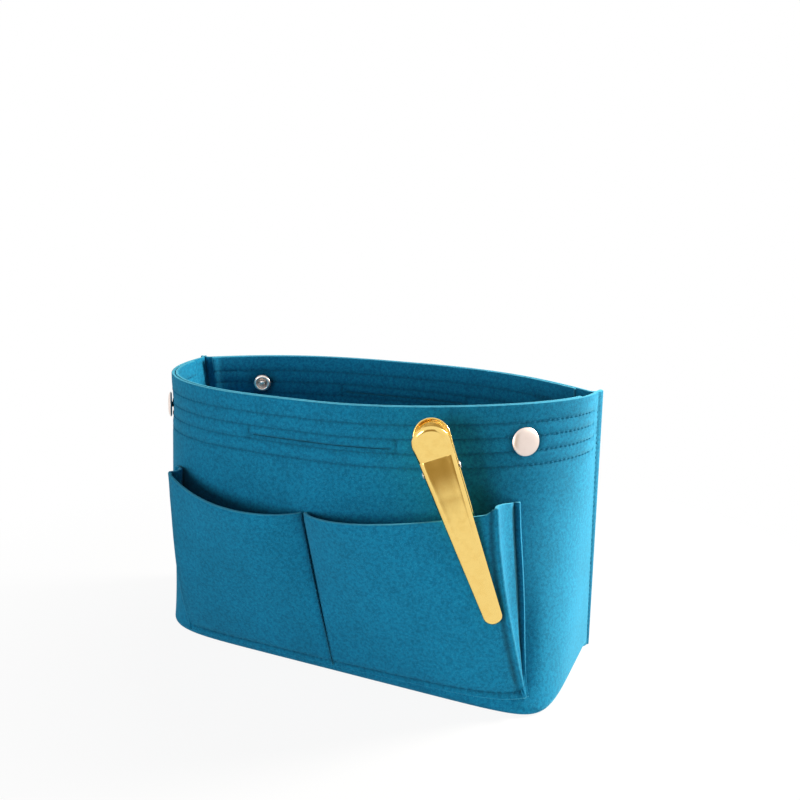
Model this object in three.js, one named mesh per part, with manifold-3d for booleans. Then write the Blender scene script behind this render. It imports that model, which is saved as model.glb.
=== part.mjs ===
import * as THREE from 'three';
import { mergeVertices } from 'three/addons/utils/BufferGeometryUtils.js';
import Module from 'manifold-3d';

// A soft felt organizer that stands open on a table or inside a larger bag.
// Millimetres. X runs along the bag, the front faces -Y, and Z is up from the floor.

const wasm = await Module();
wasm.setup();

// Felt and sewing.
const FELT_THICKNESS = 2;
const LAYER_GAP = 0.3;
const POCKET_LAYER_GAP = 0.7;
const SEAM_FLANGE_RIM_WIDTH = 4.5;
const SEAM_FLANGE_FOOT_WIDTH = 2;
const SEAM_FLANGE_ANGLE = 45;
const TOP_BAND_DEPTH = 38;
const FRONT_BAND_END_MARGIN = 13;
const BACK_BAND_END_MARGIN = 9;

// The bag's body. It is boxy at the base and its mouth is pinched into a lens.
const WALL_HEIGHT = 160;
const BASE_LENGTH = 252;
const BASE_DEPTH = 90;
const MOUTH_LENGTH = 257;
const BASE_EDGE_RADIUS = 5;
const BASE_PANEL_CLEARANCE = 0.7;
const SEAM_LEAN = 19;
const FRONT_BULGE = 10;
const FRONT_BULGE_HEIGHT = 96;
const FRONT_BULGE_POWER = 0.8;
const BACK_BOW_BASE = 1;
const BACK_BOW_MOUTH = 36;
const BACK_BOW_POWER = 2.6;

// How far the front edge of the base comes forward at its right end, and goes back at its left.
const BASE_FRONT_SKEW = 4;

// How far each corner of the plan is pulled round: 0 is square, 0.5 an ellipse, 1 a straight chamfer.
const LEFT_BASE_ROUNDING = 0.13;
const RIGHT_BASE_ROUNDING = 0.08;
const LEFT_MOUTH_ROUNDING = 0.36;
const RIGHT_MOUTH_ROUNDING = 0.62;
const ROUNDING_RISE_POWER = 0.7;

// The two bellows pockets across the front.
const POCKET_FLOOR_AT_CENTRE = 7;
const LEFT_POCKET_FLOOR_AT_FOLD = 7;
const RIGHT_POCKET_FLOOR_AT_FOLD = 10.5;
const POCKET_HALF_WIDTH = 108;
const POCKET_CENTRE_SHIFT = 3;
const POCKET_SEAM_LEAN = 6;
const LEFT_POCKET_FOOT_INSET = 9;
const RIGHT_POCKET_FOOT_INSET = -3;
const POCKET_FLANGE_WIDTH = 3;
const CENTRE_SEAM_FOOT = 4;
const CENTRE_SEAM_TOP = -8;
const CENTRE_SEAM_GAP = 0.6;
const POCKET_RIM_AT_CENTRE = 99.5;
const LEFT_POCKET_RIM_AT_FOLD = 111;
const RIGHT_POCKET_RIM_AT_FOLD = 112;
const LEFT_POCKET_BILLOW = 15;
const RIGHT_POCKET_BILLOW = 12;
const LEFT_FOLD_DEPTH = 10;
const RIGHT_FOLD_DEPTH = 18;
const LEFT_FOLD_INSET = 9;
const RIGHT_FOLD_INSET = 14;
const FOLD_GROWTH_POWER = 1.7;
const GUSSET_FOOT_SHARE = 0.16;
const GUSSET_FOLD_CLEARANCE = 0.7;

// The slip pockets inside, one panel on each long wall.
const INNER_POCKET_HEIGHT = 105;
const INNER_POCKET_FLOOR = 10;
const INNER_POCKET_BULGE = 8;
const FRONT_INNER_HALF_WIDTH = 78;
const BACK_INNER_HALF_WIDTH = 96;
const FRONT_INNER_COMPARTMENTS = 2;
const BACK_INNER_COMPARTMENTS = 3;

// Grip slits through the top band, one in each long wall.
const SLIT_LENGTH = 80;
const SLIT_WIDTH = 1.4;
const SLIT_DROP = 22;

// Snap fasteners: a cap outside with a stud or a socket inside.
const FRONT_SNAP_DROP = 19.5;
const BACK_SNAP_DROP = 17.5;
const FRONT_SNAP_FROM_SEAM = 53.5;
const BACK_SNAP_FROM_SEAM = 30;
const SNAP_CAP_DIAMETER = 15;
const SNAP_CAP_RISE = 2.2;
const SNAP_POST_DIAMETER = 3.2;
const SNAP_HOLE_DIAMETER = 4.2;
const SNAP_FIT_CLEARANCE = 0.3;
const SNAP_SEAT_CLEARANCE = 0.6;
const SNAP_POST_REACH = 1.6;
const STUD_DIAMETER = 10;
const STUD_NIPPLE_DIAMETER = 6.4;
const STUD_HEIGHT = 3.4;
const STUD_WAIST_RISE = 1.6;
const SOCKET_DIAMETER = 11;
const SOCKET_MOUTH_DIAMETER = 7;
const SOCKET_HEIGHT = 3;

// The long sprung clip on the right pocket's rim.
const CLIP_HEAD_DIAMETER = 19;
const CLIP_TIP_DIAMETER = 9.7;
const CLIP_HEAD_RISE = 14.4;
const CLIP_REACH = 84.5;
const CLIP_METAL = 0.9;
const CLIP_EDGE_DEPTH = 1.3;
const CLIP_FELT_CLEARANCE = 0.85;
const CLIP_FELT_BOW = 0.45;
const CLIP_HINGE_STANDOFF = 4;
const CLIP_JAW_BEND_LENGTH = 20;
const CLIP_HEAD_ANGLE = 13;
const CLIP_HINGE_ABOVE_RIM = 26.5;
const CLIP_RIM_PLACE = 0.835;
const CLIP_TIP_PLACE = 0.94;
const CLIP_TIP_HEIGHT_SHARE = 0.45;
const CLIP_PIN_DIAMETER = 2.4;
const CLIP_PIN_HEAD_DIAMETER = 3.8;
const CLIP_PIN_HEAD_THICKNESS = 0.8;
const CLIP_EAR_DIAMETER = 5.6;
const CLIP_EAR_THICKNESS = 0.8;
const CLIP_EAR_INSET = 1.5;
const CLIP_RUNNING_GAP = 0.35;
const SPRING_WIRE_DIAMETER = 0.9;
const SPRING_PIN_CLEARANCE = 0.45;
const SPRING_TURN_GAP = 0.55;
const SPRING_TURNS = 3.5;
const SPRING_LEG_HEIGHT = 9;
const SPRING_LEG_CLEARANCE = 0.3;

// Mesh steps.
const WALL_STEPS_UP = 6;
const BAND_STEPS_UP = 3;
const ARM_SAMPLES = 240;
const ARM_STEPS = 24;
const CORNER_STEP = 3;
const BACK_STEPS = 22;
const POCKET_STEPS_ACROSS = 16;
const POCKET_STEPS_UP = 8;
const ROUND_SIDES = 18;
const SPRING_STEPS_PER_TURN = 8;
const SPRING_SIDES = 5;

const felt = new THREE.MeshStandardMaterial({ color: 0x1f7fa3, roughness: 0.95, metalness: 0 });
const snapMetal = new THREE.MeshStandardMaterial({ color: 0xe6dcd6, roughness: 0.25, metalness: 1 });
const goldMetal = new THREE.MeshStandardMaterial({ color: 0xd9ae5a, roughness: 0.3, metalness: 1 });
const steelMetal = new THREE.MeshStandardMaterial({ color: 0xb9b9bb, roughness: 0.35, metalness: 1 });

const lerp = THREE.MathUtils.lerp;
const radians = THREE.MathUtils.degToRad;
const steps = (count) => Array.from({ length: count + 1 }, (_, i) => i / count);

// Plan of the bag at a height. Every outline below is on the outer face of the felt.

function edgeTuck(z) {
  const below = Math.max(0, 1 - z / BASE_EDGE_RADIUS);
  return BASE_EDGE_RADIUS * (1 - Math.sqrt(1 - below * below));
}

function seamX(z) {
  return lerp(BASE_LENGTH, MOUTH_LENGTH, z / WALL_HEIGHT) / 2 - edgeTuck(z);
}

function seamY(z) {
  return BASE_DEPTH / 2 - (SEAM_LEAN * z) / WALL_HEIGHT - edgeTuck(z);
}

function frontY(z) {
  const rise = Math.min(1, z / FRONT_BULGE_HEIGHT) ** FRONT_BULGE_POWER;
  return -BASE_DEPTH / 2 - FRONT_BULGE * rise + edgeTuck(z);
}

function cornerRounding(z, side) {
  const base = side > 0 ? RIGHT_BASE_ROUNDING : LEFT_BASE_ROUNDING;
  const mouth = side > 0 ? RIGHT_MOUTH_ROUNDING : LEFT_MOUTH_ROUNDING;
  const rise = (z / WALL_HEIGHT) ** ROUNDING_RISE_POWER;
  return lerp(base, mouth, rise);
}

// Half of the front wall's plan, from the middle of the front round to the back corner's seam,
// with the lengths along it. side is -1 for the left half and 1 for the right.
const armCache = new Map();

function arm(z, side) {
  const key = `${z},${side}`;
  if (armCache.has(key)) return armCache.get(key);
  const power = 2 * cornerRounding(z, side);
  const depth = seamY(z) - frontY(z);
  const skew = side * BASE_FRONT_SKEW * (1 - z / WALL_HEIGHT);
  const points = steps(ARM_SAMPLES).map((t) => {
    const angle = (t * Math.PI) / 2;
    const aside = Math.sin(angle) ** power;
    const forward = Math.max(0, Math.cos(angle)) ** power;
    return new THREE.Vector2(side * seamX(z) * aside, seamY(z) - (depth + skew * aside) * forward);
  });
  const lengths = [0];
  for (let i = 1; i < points.length; i++) {
    lengths.push(lengths[i - 1] + points[i].distanceTo(points[i - 1]));
  }
  const result = { points, lengths, total: lengths[ARM_SAMPLES] };
  armCache.set(key, result);
  return result;
}

function alongArm(z, side, distance) {
  const { points, lengths, total } = arm(z, side);
  const reach = THREE.MathUtils.clamp(distance, 0, total);
  let i = lengths.findIndex((length) => length >= reach);
  i = Math.max(1, i);
  const share = (reach - lengths[i - 1]) / (lengths[i] - lengths[i - 1]);
  return points[i - 1].clone().lerp(points[i], share);
}

// A point on the front wall, a distance along the felt from the middle of the front (right is
// positive), stood off outwards by the given amount.
function wallPoint(distance, z, standoff = 0) {
  const side = distance < 0 ? -1 : 1;
  const reach = Math.abs(distance);
  const here = alongArm(z, side, reach);
  const ahead = alongArm(z, side, reach + 1);
  const behind = reach > 1 ? alongArm(z, side, reach - 1) : alongArm(z, -side, 1 - reach);
  const along = ahead.sub(behind).normalize();
  const outward = new THREE.Vector2(along.y, -along.x).multiplyScalar(side);
  return new THREE.Vector3(
    here.x + outward.x * standoff,
    here.y + outward.y * standoff,
    z,
  );
}

function flangeDirection(side) {
  const angle = radians(SEAM_FLANGE_ANGLE);
  return new THREE.Vector2(side * Math.cos(angle), Math.sin(angle));
}

// The back wall's corner lies behind the front wall's, by the two layers of the seam.
function backCorner(z, side) {
  const flange = flangeDirection(side);
  const across = 2 * FELT_THICKNESS + LAYER_GAP;
  return new THREE.Vector2(
    side * (seamX(z) - flange.y * across),
    seamY(z) + side * flange.x * across,
  );
}

function backBow(z) {
  return lerp(BACK_BOW_BASE, BACK_BOW_MOUTH, z / WALL_HEIGHT);
}

// A point on the back wall; place runs from -1 at the left corner to 1 at the right one.
function backPoint(place, z, standoff = 0) {
  const corner = backCorner(z, 1);
  const bow = backBow(z) * (1 - Math.abs(place) ** BACK_BOW_POWER);
  const slope = backBow(z) * BACK_BOW_POWER * Math.abs(place) ** (BACK_BOW_POWER - 1) * Math.sign(place);
  const outward = new THREE.Vector2(slope / corner.x, 1).normalize();
  return new THREE.Vector3(
    corner.x * place + outward.x * standoff,
    corner.y + bow + outward.y * standoff,
    z,
  );
}

// Felt sheets: a grid of points becomes a closed solid of even thickness.

function quadNormal(rows, j, i) {
  const a = rows[j][i];
  const diagonalOne = rows[j + 1][i + 1].clone().sub(a);
  const diagonalTwo = rows[j + 1][i].clone().sub(rows[j][i + 1]);
  return diagonalOne.cross(diagonalTwo).normalize();
}

// Moves every grid point along the mean of the normals around it, far enough that each face
// moves by the distance, as a mitre does.
function offsetGrid(rows, distance) {
  const last = [rows.length - 1, rows[0].length - 1];
  return rows.map((row, j) => row.map((point, i) => {
    const around = [];
    for (const jj of [j - 1, j]) {
      for (const ii of [i - 1, i]) {
        if (jj >= 0 && ii >= 0 && jj < last[0] && ii < last[1]) around.push(quadNormal(rows, jj, ii));
      }
    }
    const mean = around.reduce((sum, n) => sum.add(n), new THREE.Vector3()).normalize();
    const lean = around.reduce((sum, n) => sum + n.dot(mean), 0) / around.length;
    return point.clone().addScaledVector(mean, distance / lean);
  }));
}

// Rows run up the sheet and columns to the right as seen from the outer face. The sheet's top
// edge is level across its thickness, and its bottom edge never dips below the outer face's.
function feltSheet(outer, thickness = FELT_THICKNESS) {
  const inner = offsetGrid(outer, -thickness);
  inner[0].forEach((point, i) => { point.z = Math.max(point.z, outer[0][i].z); });
  inner[inner.length - 1].forEach((point, i) => { point.z = outer[outer.length - 1][i].z; });
  const high = outer.length;
  const wide = outer[0].length;
  const positions = [...outer, ...inner].flat().flatMap((p) => [p.x, p.y, p.z]);
  const index = [];
  const quad = (a, b, c, d) => index.push(a, b, c, a, c, d);
  const out = (j, i) => j * wide + i;
  const inn = (j, i) => (high + j) * wide + i;
  for (let j = 0; j < high - 1; j++) {
    for (let i = 0; i < wide - 1; i++) {
      quad(out(j, i), out(j, i + 1), out(j + 1, i + 1), out(j + 1, i));
      quad(inn(j, i), inn(j + 1, i), inn(j + 1, i + 1), inn(j, i + 1));
    }
    quad(out(j, 0), out(j + 1, 0), inn(j + 1, 0), inn(j, 0));
    quad(out(j, wide - 1), inn(j, wide - 1), inn(j + 1, wide - 1), out(j + 1, wide - 1));
  }
  for (let i = 0; i < wide - 1; i++) {
    quad(out(0, i), inn(0, i), inn(0, i + 1), out(0, i + 1));
    quad(out(high - 1, i), out(high - 1, i + 1), inn(high - 1, i + 1), inn(high - 1, i));
  }
  const geometry = new THREE.BufferGeometry();
  geometry.setAttribute('position', new THREE.Float32BufferAttribute(positions, 3));
  geometry.setIndex(index);
  return geometry;
}

// Joining and cutting.

function toSolid(geometry) {
  const bare = geometry.clone();
  bare.deleteAttribute('normal');
  bare.deleteAttribute('uv');
  const merged = mergeVertices(bare, 1e-4);
  return new wasm.Manifold(new wasm.Mesh({
    numProp: 3,
    vertProperties: new Float32Array(merged.attributes.position.array),
    triVerts: new Uint32Array(merged.index.array),
  }));
}

function toGeometry(solid) {
  const mesh = solid.getMesh();
  const geometry = new THREE.BufferGeometry();
  geometry.setAttribute('position', new THREE.Float32BufferAttribute(mesh.vertProperties, 3));
  geometry.setIndex(new THREE.Uint32BufferAttribute(mesh.triVerts, 1));
  geometry.computeVertexNormals();
  return geometry;
}

function cut(geometry, cutters) {
  return toGeometry(cutters.reduce((solid, cutter) => solid.subtract(toSolid(cutter)), toSolid(geometry)));
}

function join(geometries) {
  return toGeometry(geometries.map(toSolid).reduce((whole, next) => whole.add(next)));
}

const bag = new THREE.Group();

function addMesh(name, geometry, material, parent = bag) {
  geometry.computeVertexNormals();
  const mesh = new THREE.Mesh(geometry, material);
  mesh.name = name;
  parent.add(mesh);
  return mesh;
}

// Heights of the wall's grid rows: the rolled edge at the base, then up to the rim.
function wallHeights() {
  const rolled = [0, 15, 40, 65].map((angle) => BASE_EDGE_RADIUS * (1 - Math.cos(radians(angle))));
  const bandFoot = WALL_HEIGHT - TOP_BAND_DEPTH;
  const body = steps(WALL_STEPS_UP).map((t) => lerp(BASE_EDGE_RADIUS, bandFoot, t));
  const band = steps(BAND_STEPS_UP).slice(1).map((t) => lerp(bandFoot, WALL_HEIGHT, t));
  return [...rolled, ...body, ...band];
}

const HEIGHTS = wallHeights();
const BAND_FIRST_ROW = HEIGHTS.length - 1 - BAND_STEPS_UP;

function flangeEdge(corner, z, side) {
  const width = lerp(SEAM_FLANGE_FOOT_WIDTH, SEAM_FLANGE_RIM_WIDTH, z / WALL_HEIGHT);
  const flange = flangeDirection(side).multiplyScalar(width);
  return new THREE.Vector3(corner.x + flange.x, corner.y + flange.y, z);
}

// The front wall wraps round both ends and ends in a seam flange at each back corner.
function frontWallGrid() {
  return HEIGHTS.map((z) => {
    const half = (side) => {
      const total = arm(z, side).total;
      const reaches = steps(ARM_STEPS).map((t) => t * (total - CORNER_STEP));
      return [...reaches, total].map((reach) => alongArm(z, side, reach));
    };
    const plan = [...half(-1).reverse(), ...half(1).slice(1)];
    const wall = plan.map((p) => new THREE.Vector3(p.x, p.y, z));
    return [flangeEdge(plan[0], z, -1), ...wall, flangeEdge(plan[plan.length - 1], z, 1)];
  });
}

function backWallGrid() {
  return HEIGHTS.map((z) => {
    const nearCorner = 1 - CORNER_STEP / backCorner(z, 1).x;
    const places = [1, ...steps(BACK_STEPS).map((t) => nearCorner * (1 - 2 * t)), -1];
    const wall = places.map((place) => backPoint(place, z));
    return [
      flangeEdge(backCorner(z, 1), z, 1),
      ...wall,
      flangeEdge(backCorner(z, -1), z, -1),
    ];
  });
}

// The inner face band under the stitch rows keeps the wall's own columns, so the layers lie parallel.
function topBandGrid(wallGrid, endMargin) {
  const lining = offsetGrid(wallGrid, -(FELT_THICKNESS + LAYER_GAP)).slice(BAND_FIRST_ROW);
  lining.forEach((row, j) => row.forEach((point) => { point.z = HEIGHTS[BAND_FIRST_ROW + j]; }));
  const ends = [lining[0][1], lining[0][lining[0].length - 2]];
  const clearOfEnds = (point) => ends.every((end) => point.distanceTo(end) > endMargin);
  const kept = lining[0].map((point, i) => i).filter((i) => clearOfEnds(lining[0][i]));
  const first = Math.max(2, kept[0]);
  const last = Math.min(lining[0].length - 3, kept[kept.length - 1]);
  return lining.map((row) => row.slice(first, last + 1));
}

// Places a thing made round the Z axis on a wall, with its Z pointing out of the wall.
function placeOnWall(geometry, point, outward) {
  const turn = new THREE.Quaternion().setFromUnitVectors(new THREE.Vector3(0, 0, 1), outward);
  return geometry.applyMatrix4(new THREE.Matrix4().compose(point, turn, new THREE.Vector3(1, 1, 1)));
}

// The point and outward normal where a snap's axis meets a wall, from the wall's points around it.
function snapSeat(pointAt) {
  const radius = SNAP_CAP_DIAMETER / 2;
  const along = pointAt(radius, 0).sub(pointAt(-radius, 0));
  const up = pointAt(0, radius).sub(pointAt(0, -radius));
  const outward = along.cross(up).normalize();
  return { point: pointAt(0, 0), outward };
}

function frontSnapSeat(side) {
  const height = WALL_HEIGHT - FRONT_SNAP_DROP;
  const fromMiddle = arm(height, side).total - FRONT_SNAP_FROM_SEAM;
  return snapSeat((across, up) => wallPoint(side * fromMiddle + across, height + up));
}

function backSnapSeat(side) {
  const height = WALL_HEIGHT - BACK_SNAP_DROP;
  const halfLength = backCorner(height, 1).x;
  const fromMiddle = halfLength - BACK_SNAP_FROM_SEAM;
  return snapSeat((across, up) => backPoint((side * fromMiddle - across) / halfLength, height + up));
}

function snapHole(seat) {
  const reach = 8 * FELT_THICKNESS;
  const drill = new THREE.CylinderGeometry(SNAP_HOLE_DIAMETER / 2, SNAP_HOLE_DIAMETER / 2, reach, 16);
  drill.rotateX(Math.PI / 2);
  return placeOnWall(drill, seat.point, seat.outward);
}

function gripSlit(y) {
  const slot = new THREE.BoxGeometry(SLIT_LENGTH, 12 * FELT_THICKNESS, SLIT_WIDTH);
  return slot.translate(0, y, WALL_HEIGHT - SLIT_DROP);
}

function addWalls() {
  const slitHeight = WALL_HEIGHT - SLIT_DROP;
  const frontGrid = frontWallGrid();
  const backGrid = backWallGrid();
  const holes = (seatOn) => [-1, 1].map((side) => snapHole(seatOn(side)));
  const frontCuts = [gripSlit(frontY(slitHeight)), ...holes(frontSnapSeat)];
  const backCuts = [gripSlit(backPoint(0, slitHeight).y), ...holes(backSnapSeat)];
  addMesh('front_wall', cut(feltSheet(frontGrid), frontCuts), felt);
  addMesh('back_wall', cut(feltSheet(backGrid), backCuts), felt);
  addMesh('front_top_band', cut(feltSheet(topBandGrid(frontGrid, FRONT_BAND_END_MARGIN)), frontCuts), felt);
  addMesh('back_top_band', cut(feltSheet(topBandGrid(backGrid, BACK_BAND_END_MARGIN)), backCuts), felt);
}

// The base panel fills the outline that the walls' rolled edges leave, edge to edge with them.
// It is ruled from the front outline to the back one.
function addBasePanel() {
  const front = frontWallGrid()[0].slice(2, -2);
  const back = backWallGrid()[0].slice(2, -2).reverse();
  const outline = [...front, ...back.toReversed()];
  const inset = outline.map((point, i) => {
    const before = outline[(i + outline.length - 1) % outline.length];
    const after = outline[(i + 1) % outline.length];
    const inward = (from, to) => new THREE.Vector3(from.y - to.y, to.x - from.x, 0).normalize();
    const one = inward(before, point);
    const mean = one.clone().add(inward(point, after)).normalize();
    return point.clone().addScaledVector(mean, BASE_PANEL_CLEARANCE / mean.dot(one));
  });
  const frontEdge = inset.slice(0, front.length);
  const backEdge = inset.slice(front.length).reverse();
  const matched = frontEdge.map((_, i) => {
    const place = (i / (frontEdge.length - 1)) * (backEdge.length - 1);
    const k = Math.min(backEdge.length - 2, Math.floor(place));
    return backEdge[k].clone().lerp(backEdge[k + 1], place - k);
  });
  addMesh('base_panel', feltSheet([matched, frontEdge]), felt);
}

// Front pockets. share runs 0 at the pocket's floor to 1 at its rim, and across runs 0 at the
// centre seam to 1 at the bellows fold.
const POCKETS = [
  {
    name: 'left', side: -1, billow: LEFT_POCKET_BILLOW,
    floor: LEFT_POCKET_FLOOR_AT_FOLD, rim: LEFT_POCKET_RIM_AT_FOLD, rimPower: 3,
    foldDepth: LEFT_FOLD_DEPTH, foldInset: LEFT_FOLD_INSET, footInset: LEFT_POCKET_FOOT_INSET,
  },
  {
    name: 'right', side: 1, billow: RIGHT_POCKET_BILLOW,
    floor: RIGHT_POCKET_FLOOR_AT_FOLD, rim: RIGHT_POCKET_RIM_AT_FOLD, rimPower: 1.3,
    foldDepth: RIGHT_FOLD_DEPTH, foldInset: RIGHT_FOLD_INSET, footInset: RIGHT_POCKET_FOOT_INSET,
  },
];

const ON_WALL = POCKET_LAYER_GAP + FELT_THICKNESS;
const foldGrowth = (share) => 1 - (1 - share) ** FOLD_GROWTH_POWER;

function wallSeamDistance(pocket, share) {
  const halfWidth = POCKET_HALF_WIDTH - POCKET_SEAM_LEAN * share - pocket.footInset * (1 - share) ** 3;
  return POCKET_CENTRE_SHIFT + pocket.side * halfWidth;
}

function foldDistance(pocket, share) {
  return wallSeamDistance(pocket, share) - pocket.side * pocket.foldInset * foldGrowth(share);
}

function pocketHeight(pocket, across, share) {
  const floor = lerp(POCKET_FLOOR_AT_CENTRE, pocket.floor, across);
  const rim = lerp(POCKET_RIM_AT_CENTRE, pocket.rim, across ** pocket.rimPower);
  return lerp(floor, rim, share);
}

function pocketPoint(pocket, across, share) {
  const seam = lerp(CENTRE_SEAM_FOOT, CENTRE_SEAM_TOP, share) + (pocket.side * CENTRE_SEAM_GAP) / 2;
  const distance = lerp(seam, foldDistance(pocket, share), across);
  const billow = pocket.billow * Math.sin(Math.PI * across ** 0.7) * share ** 1.3;
  const fold = pocket.foldDepth * foldGrowth(share) * across ** 2;
  return wallPoint(distance, pocketHeight(pocket, across, share), ON_WALL + billow + fold);
}

function addPocketFront(pocket) {
  const columns = steps(POCKET_STEPS_ACROSS);
  const inOrder = pocket.side > 0 ? columns : columns.toReversed();
  const rowAt = (share) => inOrder.map((across) => pocketPoint(pocket, across, share));
  const grid = steps(POCKET_STEPS_UP).map(rowAt);
  addMesh(`${pocket.name}_pocket_front`, feltSheet(grid), felt);
}

// The gusset runs from behind the fold back to the wall, then turns out flat on the wall.
function addPocketGusset(pocket) {
  const grid = steps(POCKET_STEPS_UP - 1).map((t) => {
    const share = lerp(GUSSET_FOOT_SHARE, 1, t);
    const z = pocketHeight(pocket, 1, share);
    const reach = pocket.foldDepth * foldGrowth(share) - GUSSET_FOLD_CLEARANCE - FELT_THICKNESS;
    const fold = wallPoint(foldDistance(pocket, share), z, ON_WALL + reach);
    const seam = wallSeamDistance(pocket, share);
    const foot = wallPoint(seam, z, ON_WALL);
    const middle = fold.clone().lerp(foot, 0.5);
    const flange = wallPoint(seam + pocket.side * POCKET_FLANGE_WIDTH, z, ON_WALL);
    const row = [fold, middle, foot, flange];
    return pocket.side > 0 ? row : row.reverse();
  });
  addMesh(`${pocket.name}_pocket_gusset`, feltSheet(grid), felt);
}

// A slip pocket inside: sewn down at its foot, its ends and between compartments.
function innerPocketGrid(compartments, facePoint) {
  const across = steps(compartments * 8);
  return steps(6).map((share) => across.map((t) => {
    const bulge = INNER_POCKET_BULGE * Math.abs(Math.sin(Math.PI * compartments * t)) ** 0.7 * share;
    return facePoint(t, lerp(INNER_POCKET_FLOOR, INNER_POCKET_HEIGHT, share), bulge);
  }));
}

function addInnerPockets() {
  const standoff = FELT_THICKNESS + POCKET_LAYER_GAP;
  const front = innerPocketGrid(FRONT_INNER_COMPARTMENTS, (t, z, bulge) => {
    const distance = lerp(FRONT_INNER_HALF_WIDTH, -FRONT_INNER_HALF_WIDTH, t);
    return wallPoint(distance, z, -(standoff + FELT_THICKNESS + bulge));
  });
  const back = innerPocketGrid(BACK_INNER_COMPARTMENTS, (t, z, bulge) => {
    const place = lerp(-BACK_INNER_HALF_WIDTH, BACK_INNER_HALF_WIDTH, t) / backCorner(z, 1).x;
    return backPoint(place, z, -(standoff + FELT_THICKNESS + bulge));
  });
  addMesh('front_inner_pocket', feltSheet(front), felt);
  addMesh('back_inner_pocket', feltSheet(back), felt);
}

// Snap fasteners, turned about their own axis with the wall's outer face at zero.

function turned(profile, sides = ROUND_SIDES) {
  const points = profile.map(([radius, height]) => new THREE.Vector2(radius, height));
  return new THREE.LatheGeometry(points, sides).rotateX(Math.PI / 2);
}

const SNAP_STACK = 2 * FELT_THICKNESS + LAYER_GAP;

function snapCap() {
  const radius = SNAP_CAP_DIAMETER / 2;
  const post = SNAP_POST_DIAMETER / 2;
  const seat = SNAP_FIT_CLEARANCE;
  const dome = steps(4).map((t) => {
    const angle = (t * Math.PI) / 2;
    return [radius * Math.cos(angle), seat + 0.8 + (SNAP_CAP_RISE - 0.8) * Math.sin(angle)];
  });
  const postEnd = -(SNAP_STACK + SNAP_SEAT_CLEARANCE + SNAP_POST_REACH);
  return turned([[0, postEnd], [post, postEnd], [post, seat], [radius - 0.6, seat], ...dome]);
}

function snapStud() {
  const bore = SNAP_POST_DIAMETER / 2 + SNAP_FIT_CLEARANCE;
  const seat = -(SNAP_STACK + SNAP_SEAT_CLEARANCE);
  const plate = STUD_DIAMETER / 2;
  const nipple = STUD_NIPPLE_DIAMETER / 2;
  const tip = seat - STUD_HEIGHT;
  return turned([
    [bore, seat], [bore, tip + 0.4], [bore + 0.4, tip], [nipple - 0.5, tip], [nipple, tip + 0.7],
    [nipple - 0.3, tip + STUD_WAIST_RISE], [nipple - 0.3, seat - 1], [plate, seat - 0.8],
    [plate, seat], [bore, seat],
  ]);
}

function snapSocket() {
  const bore = SNAP_POST_DIAMETER / 2 + SNAP_FIT_CLEARANCE;
  const seat = -(SNAP_STACK + SNAP_SEAT_CLEARANCE);
  const rim = SOCKET_DIAMETER / 2;
  const mouth = SOCKET_MOUTH_DIAMETER / 2;
  const tip = seat - SOCKET_HEIGHT;
  return turned([
    [bore, seat], [bore, seat - 0.8], [mouth, seat - 0.8], [mouth, tip + 0.3], [mouth + 0.3, tip],
    [rim - 1, tip], [rim - 0.3, tip + 0.5], [rim, tip + 1.4], [rim, seat], [bore, seat],
  ]);
}

function addSnaps() {
  const seats = [
    ['front_left', frontSnapSeat(-1), 'stud', snapStud],
    ['front_right', frontSnapSeat(1), 'stud', snapStud],
    ['back_left', backSnapSeat(-1), 'socket', snapSocket],
    ['back_right', backSnapSeat(1), 'socket', snapSocket],
  ];
  for (const [place, seat, partner, makePartner] of seats) {
    addMesh(`${place}_snap_cap`, placeOnWall(snapCap(), seat.point, seat.outward), snapMetal);
    addMesh(`${place}_snap_${partner}`, placeOnWall(makePartner(), seat.point, seat.outward), snapMetal);
  }
}

// The clip is drawn in its own frame: the hinge pin runs along X through the origin, Z points
// up to the head, and the front jaw is on -Y. The felt lies in the plane y = 0.

function jawHalfWidth(z) {
  const head = CLIP_HEAD_DIAMETER / 2;
  const tip = CLIP_TIP_DIAMETER / 2;
  const tipCentre = -CLIP_REACH + tip;
  if (z > CLIP_HEAD_RISE) return Math.sqrt(Math.max(0, head * head - (z - CLIP_HEAD_RISE) ** 2));
  if (z < tipCentre) return Math.sqrt(Math.max(0, tip * tip - (z - tipCentre) ** 2));
  return lerp(head, tip, (CLIP_HEAD_RISE - z) / (CLIP_HEAD_RISE - tipCentre));
}

const GRIP_HALF_GAP = FELT_THICKNESS / 2 + CLIP_FELT_CLEARANCE;
const PIN_TO_WEB = CLIP_HINGE_STANDOFF;

// Distance from the felt's plane to the inner face of a jaw's web.
function jawStandoff(z) {
  const gripping = GRIP_HALF_GAP + CLIP_EDGE_DEPTH;
  if (z > 0) return PIN_TO_WEB + z * Math.tan(radians(CLIP_HEAD_ANGLE));
  return Math.max(gripping, lerp(PIN_TO_WEB, gripping, -z / CLIP_JAW_BEND_LENGTH));
}

function jawStations() {
  const head = CLIP_HEAD_DIAMETER / 2;
  const tip = CLIP_TIP_DIAMETER / 2;
  const tipCentre = -CLIP_REACH + tip;
  const round = steps(5).map((t) => (t * Math.PI) / 2);
  return [
    ...round.map((angle) => tipCentre - tip * Math.cos(angle) * 0.995),
    ...[-60, -40, -CLIP_JAW_BEND_LENGTH, -10, 0, 7],
    ...round.toReversed().map((angle) => CLIP_HEAD_RISE + head * Math.cos(angle) * 0.995),
  ];
}

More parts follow.
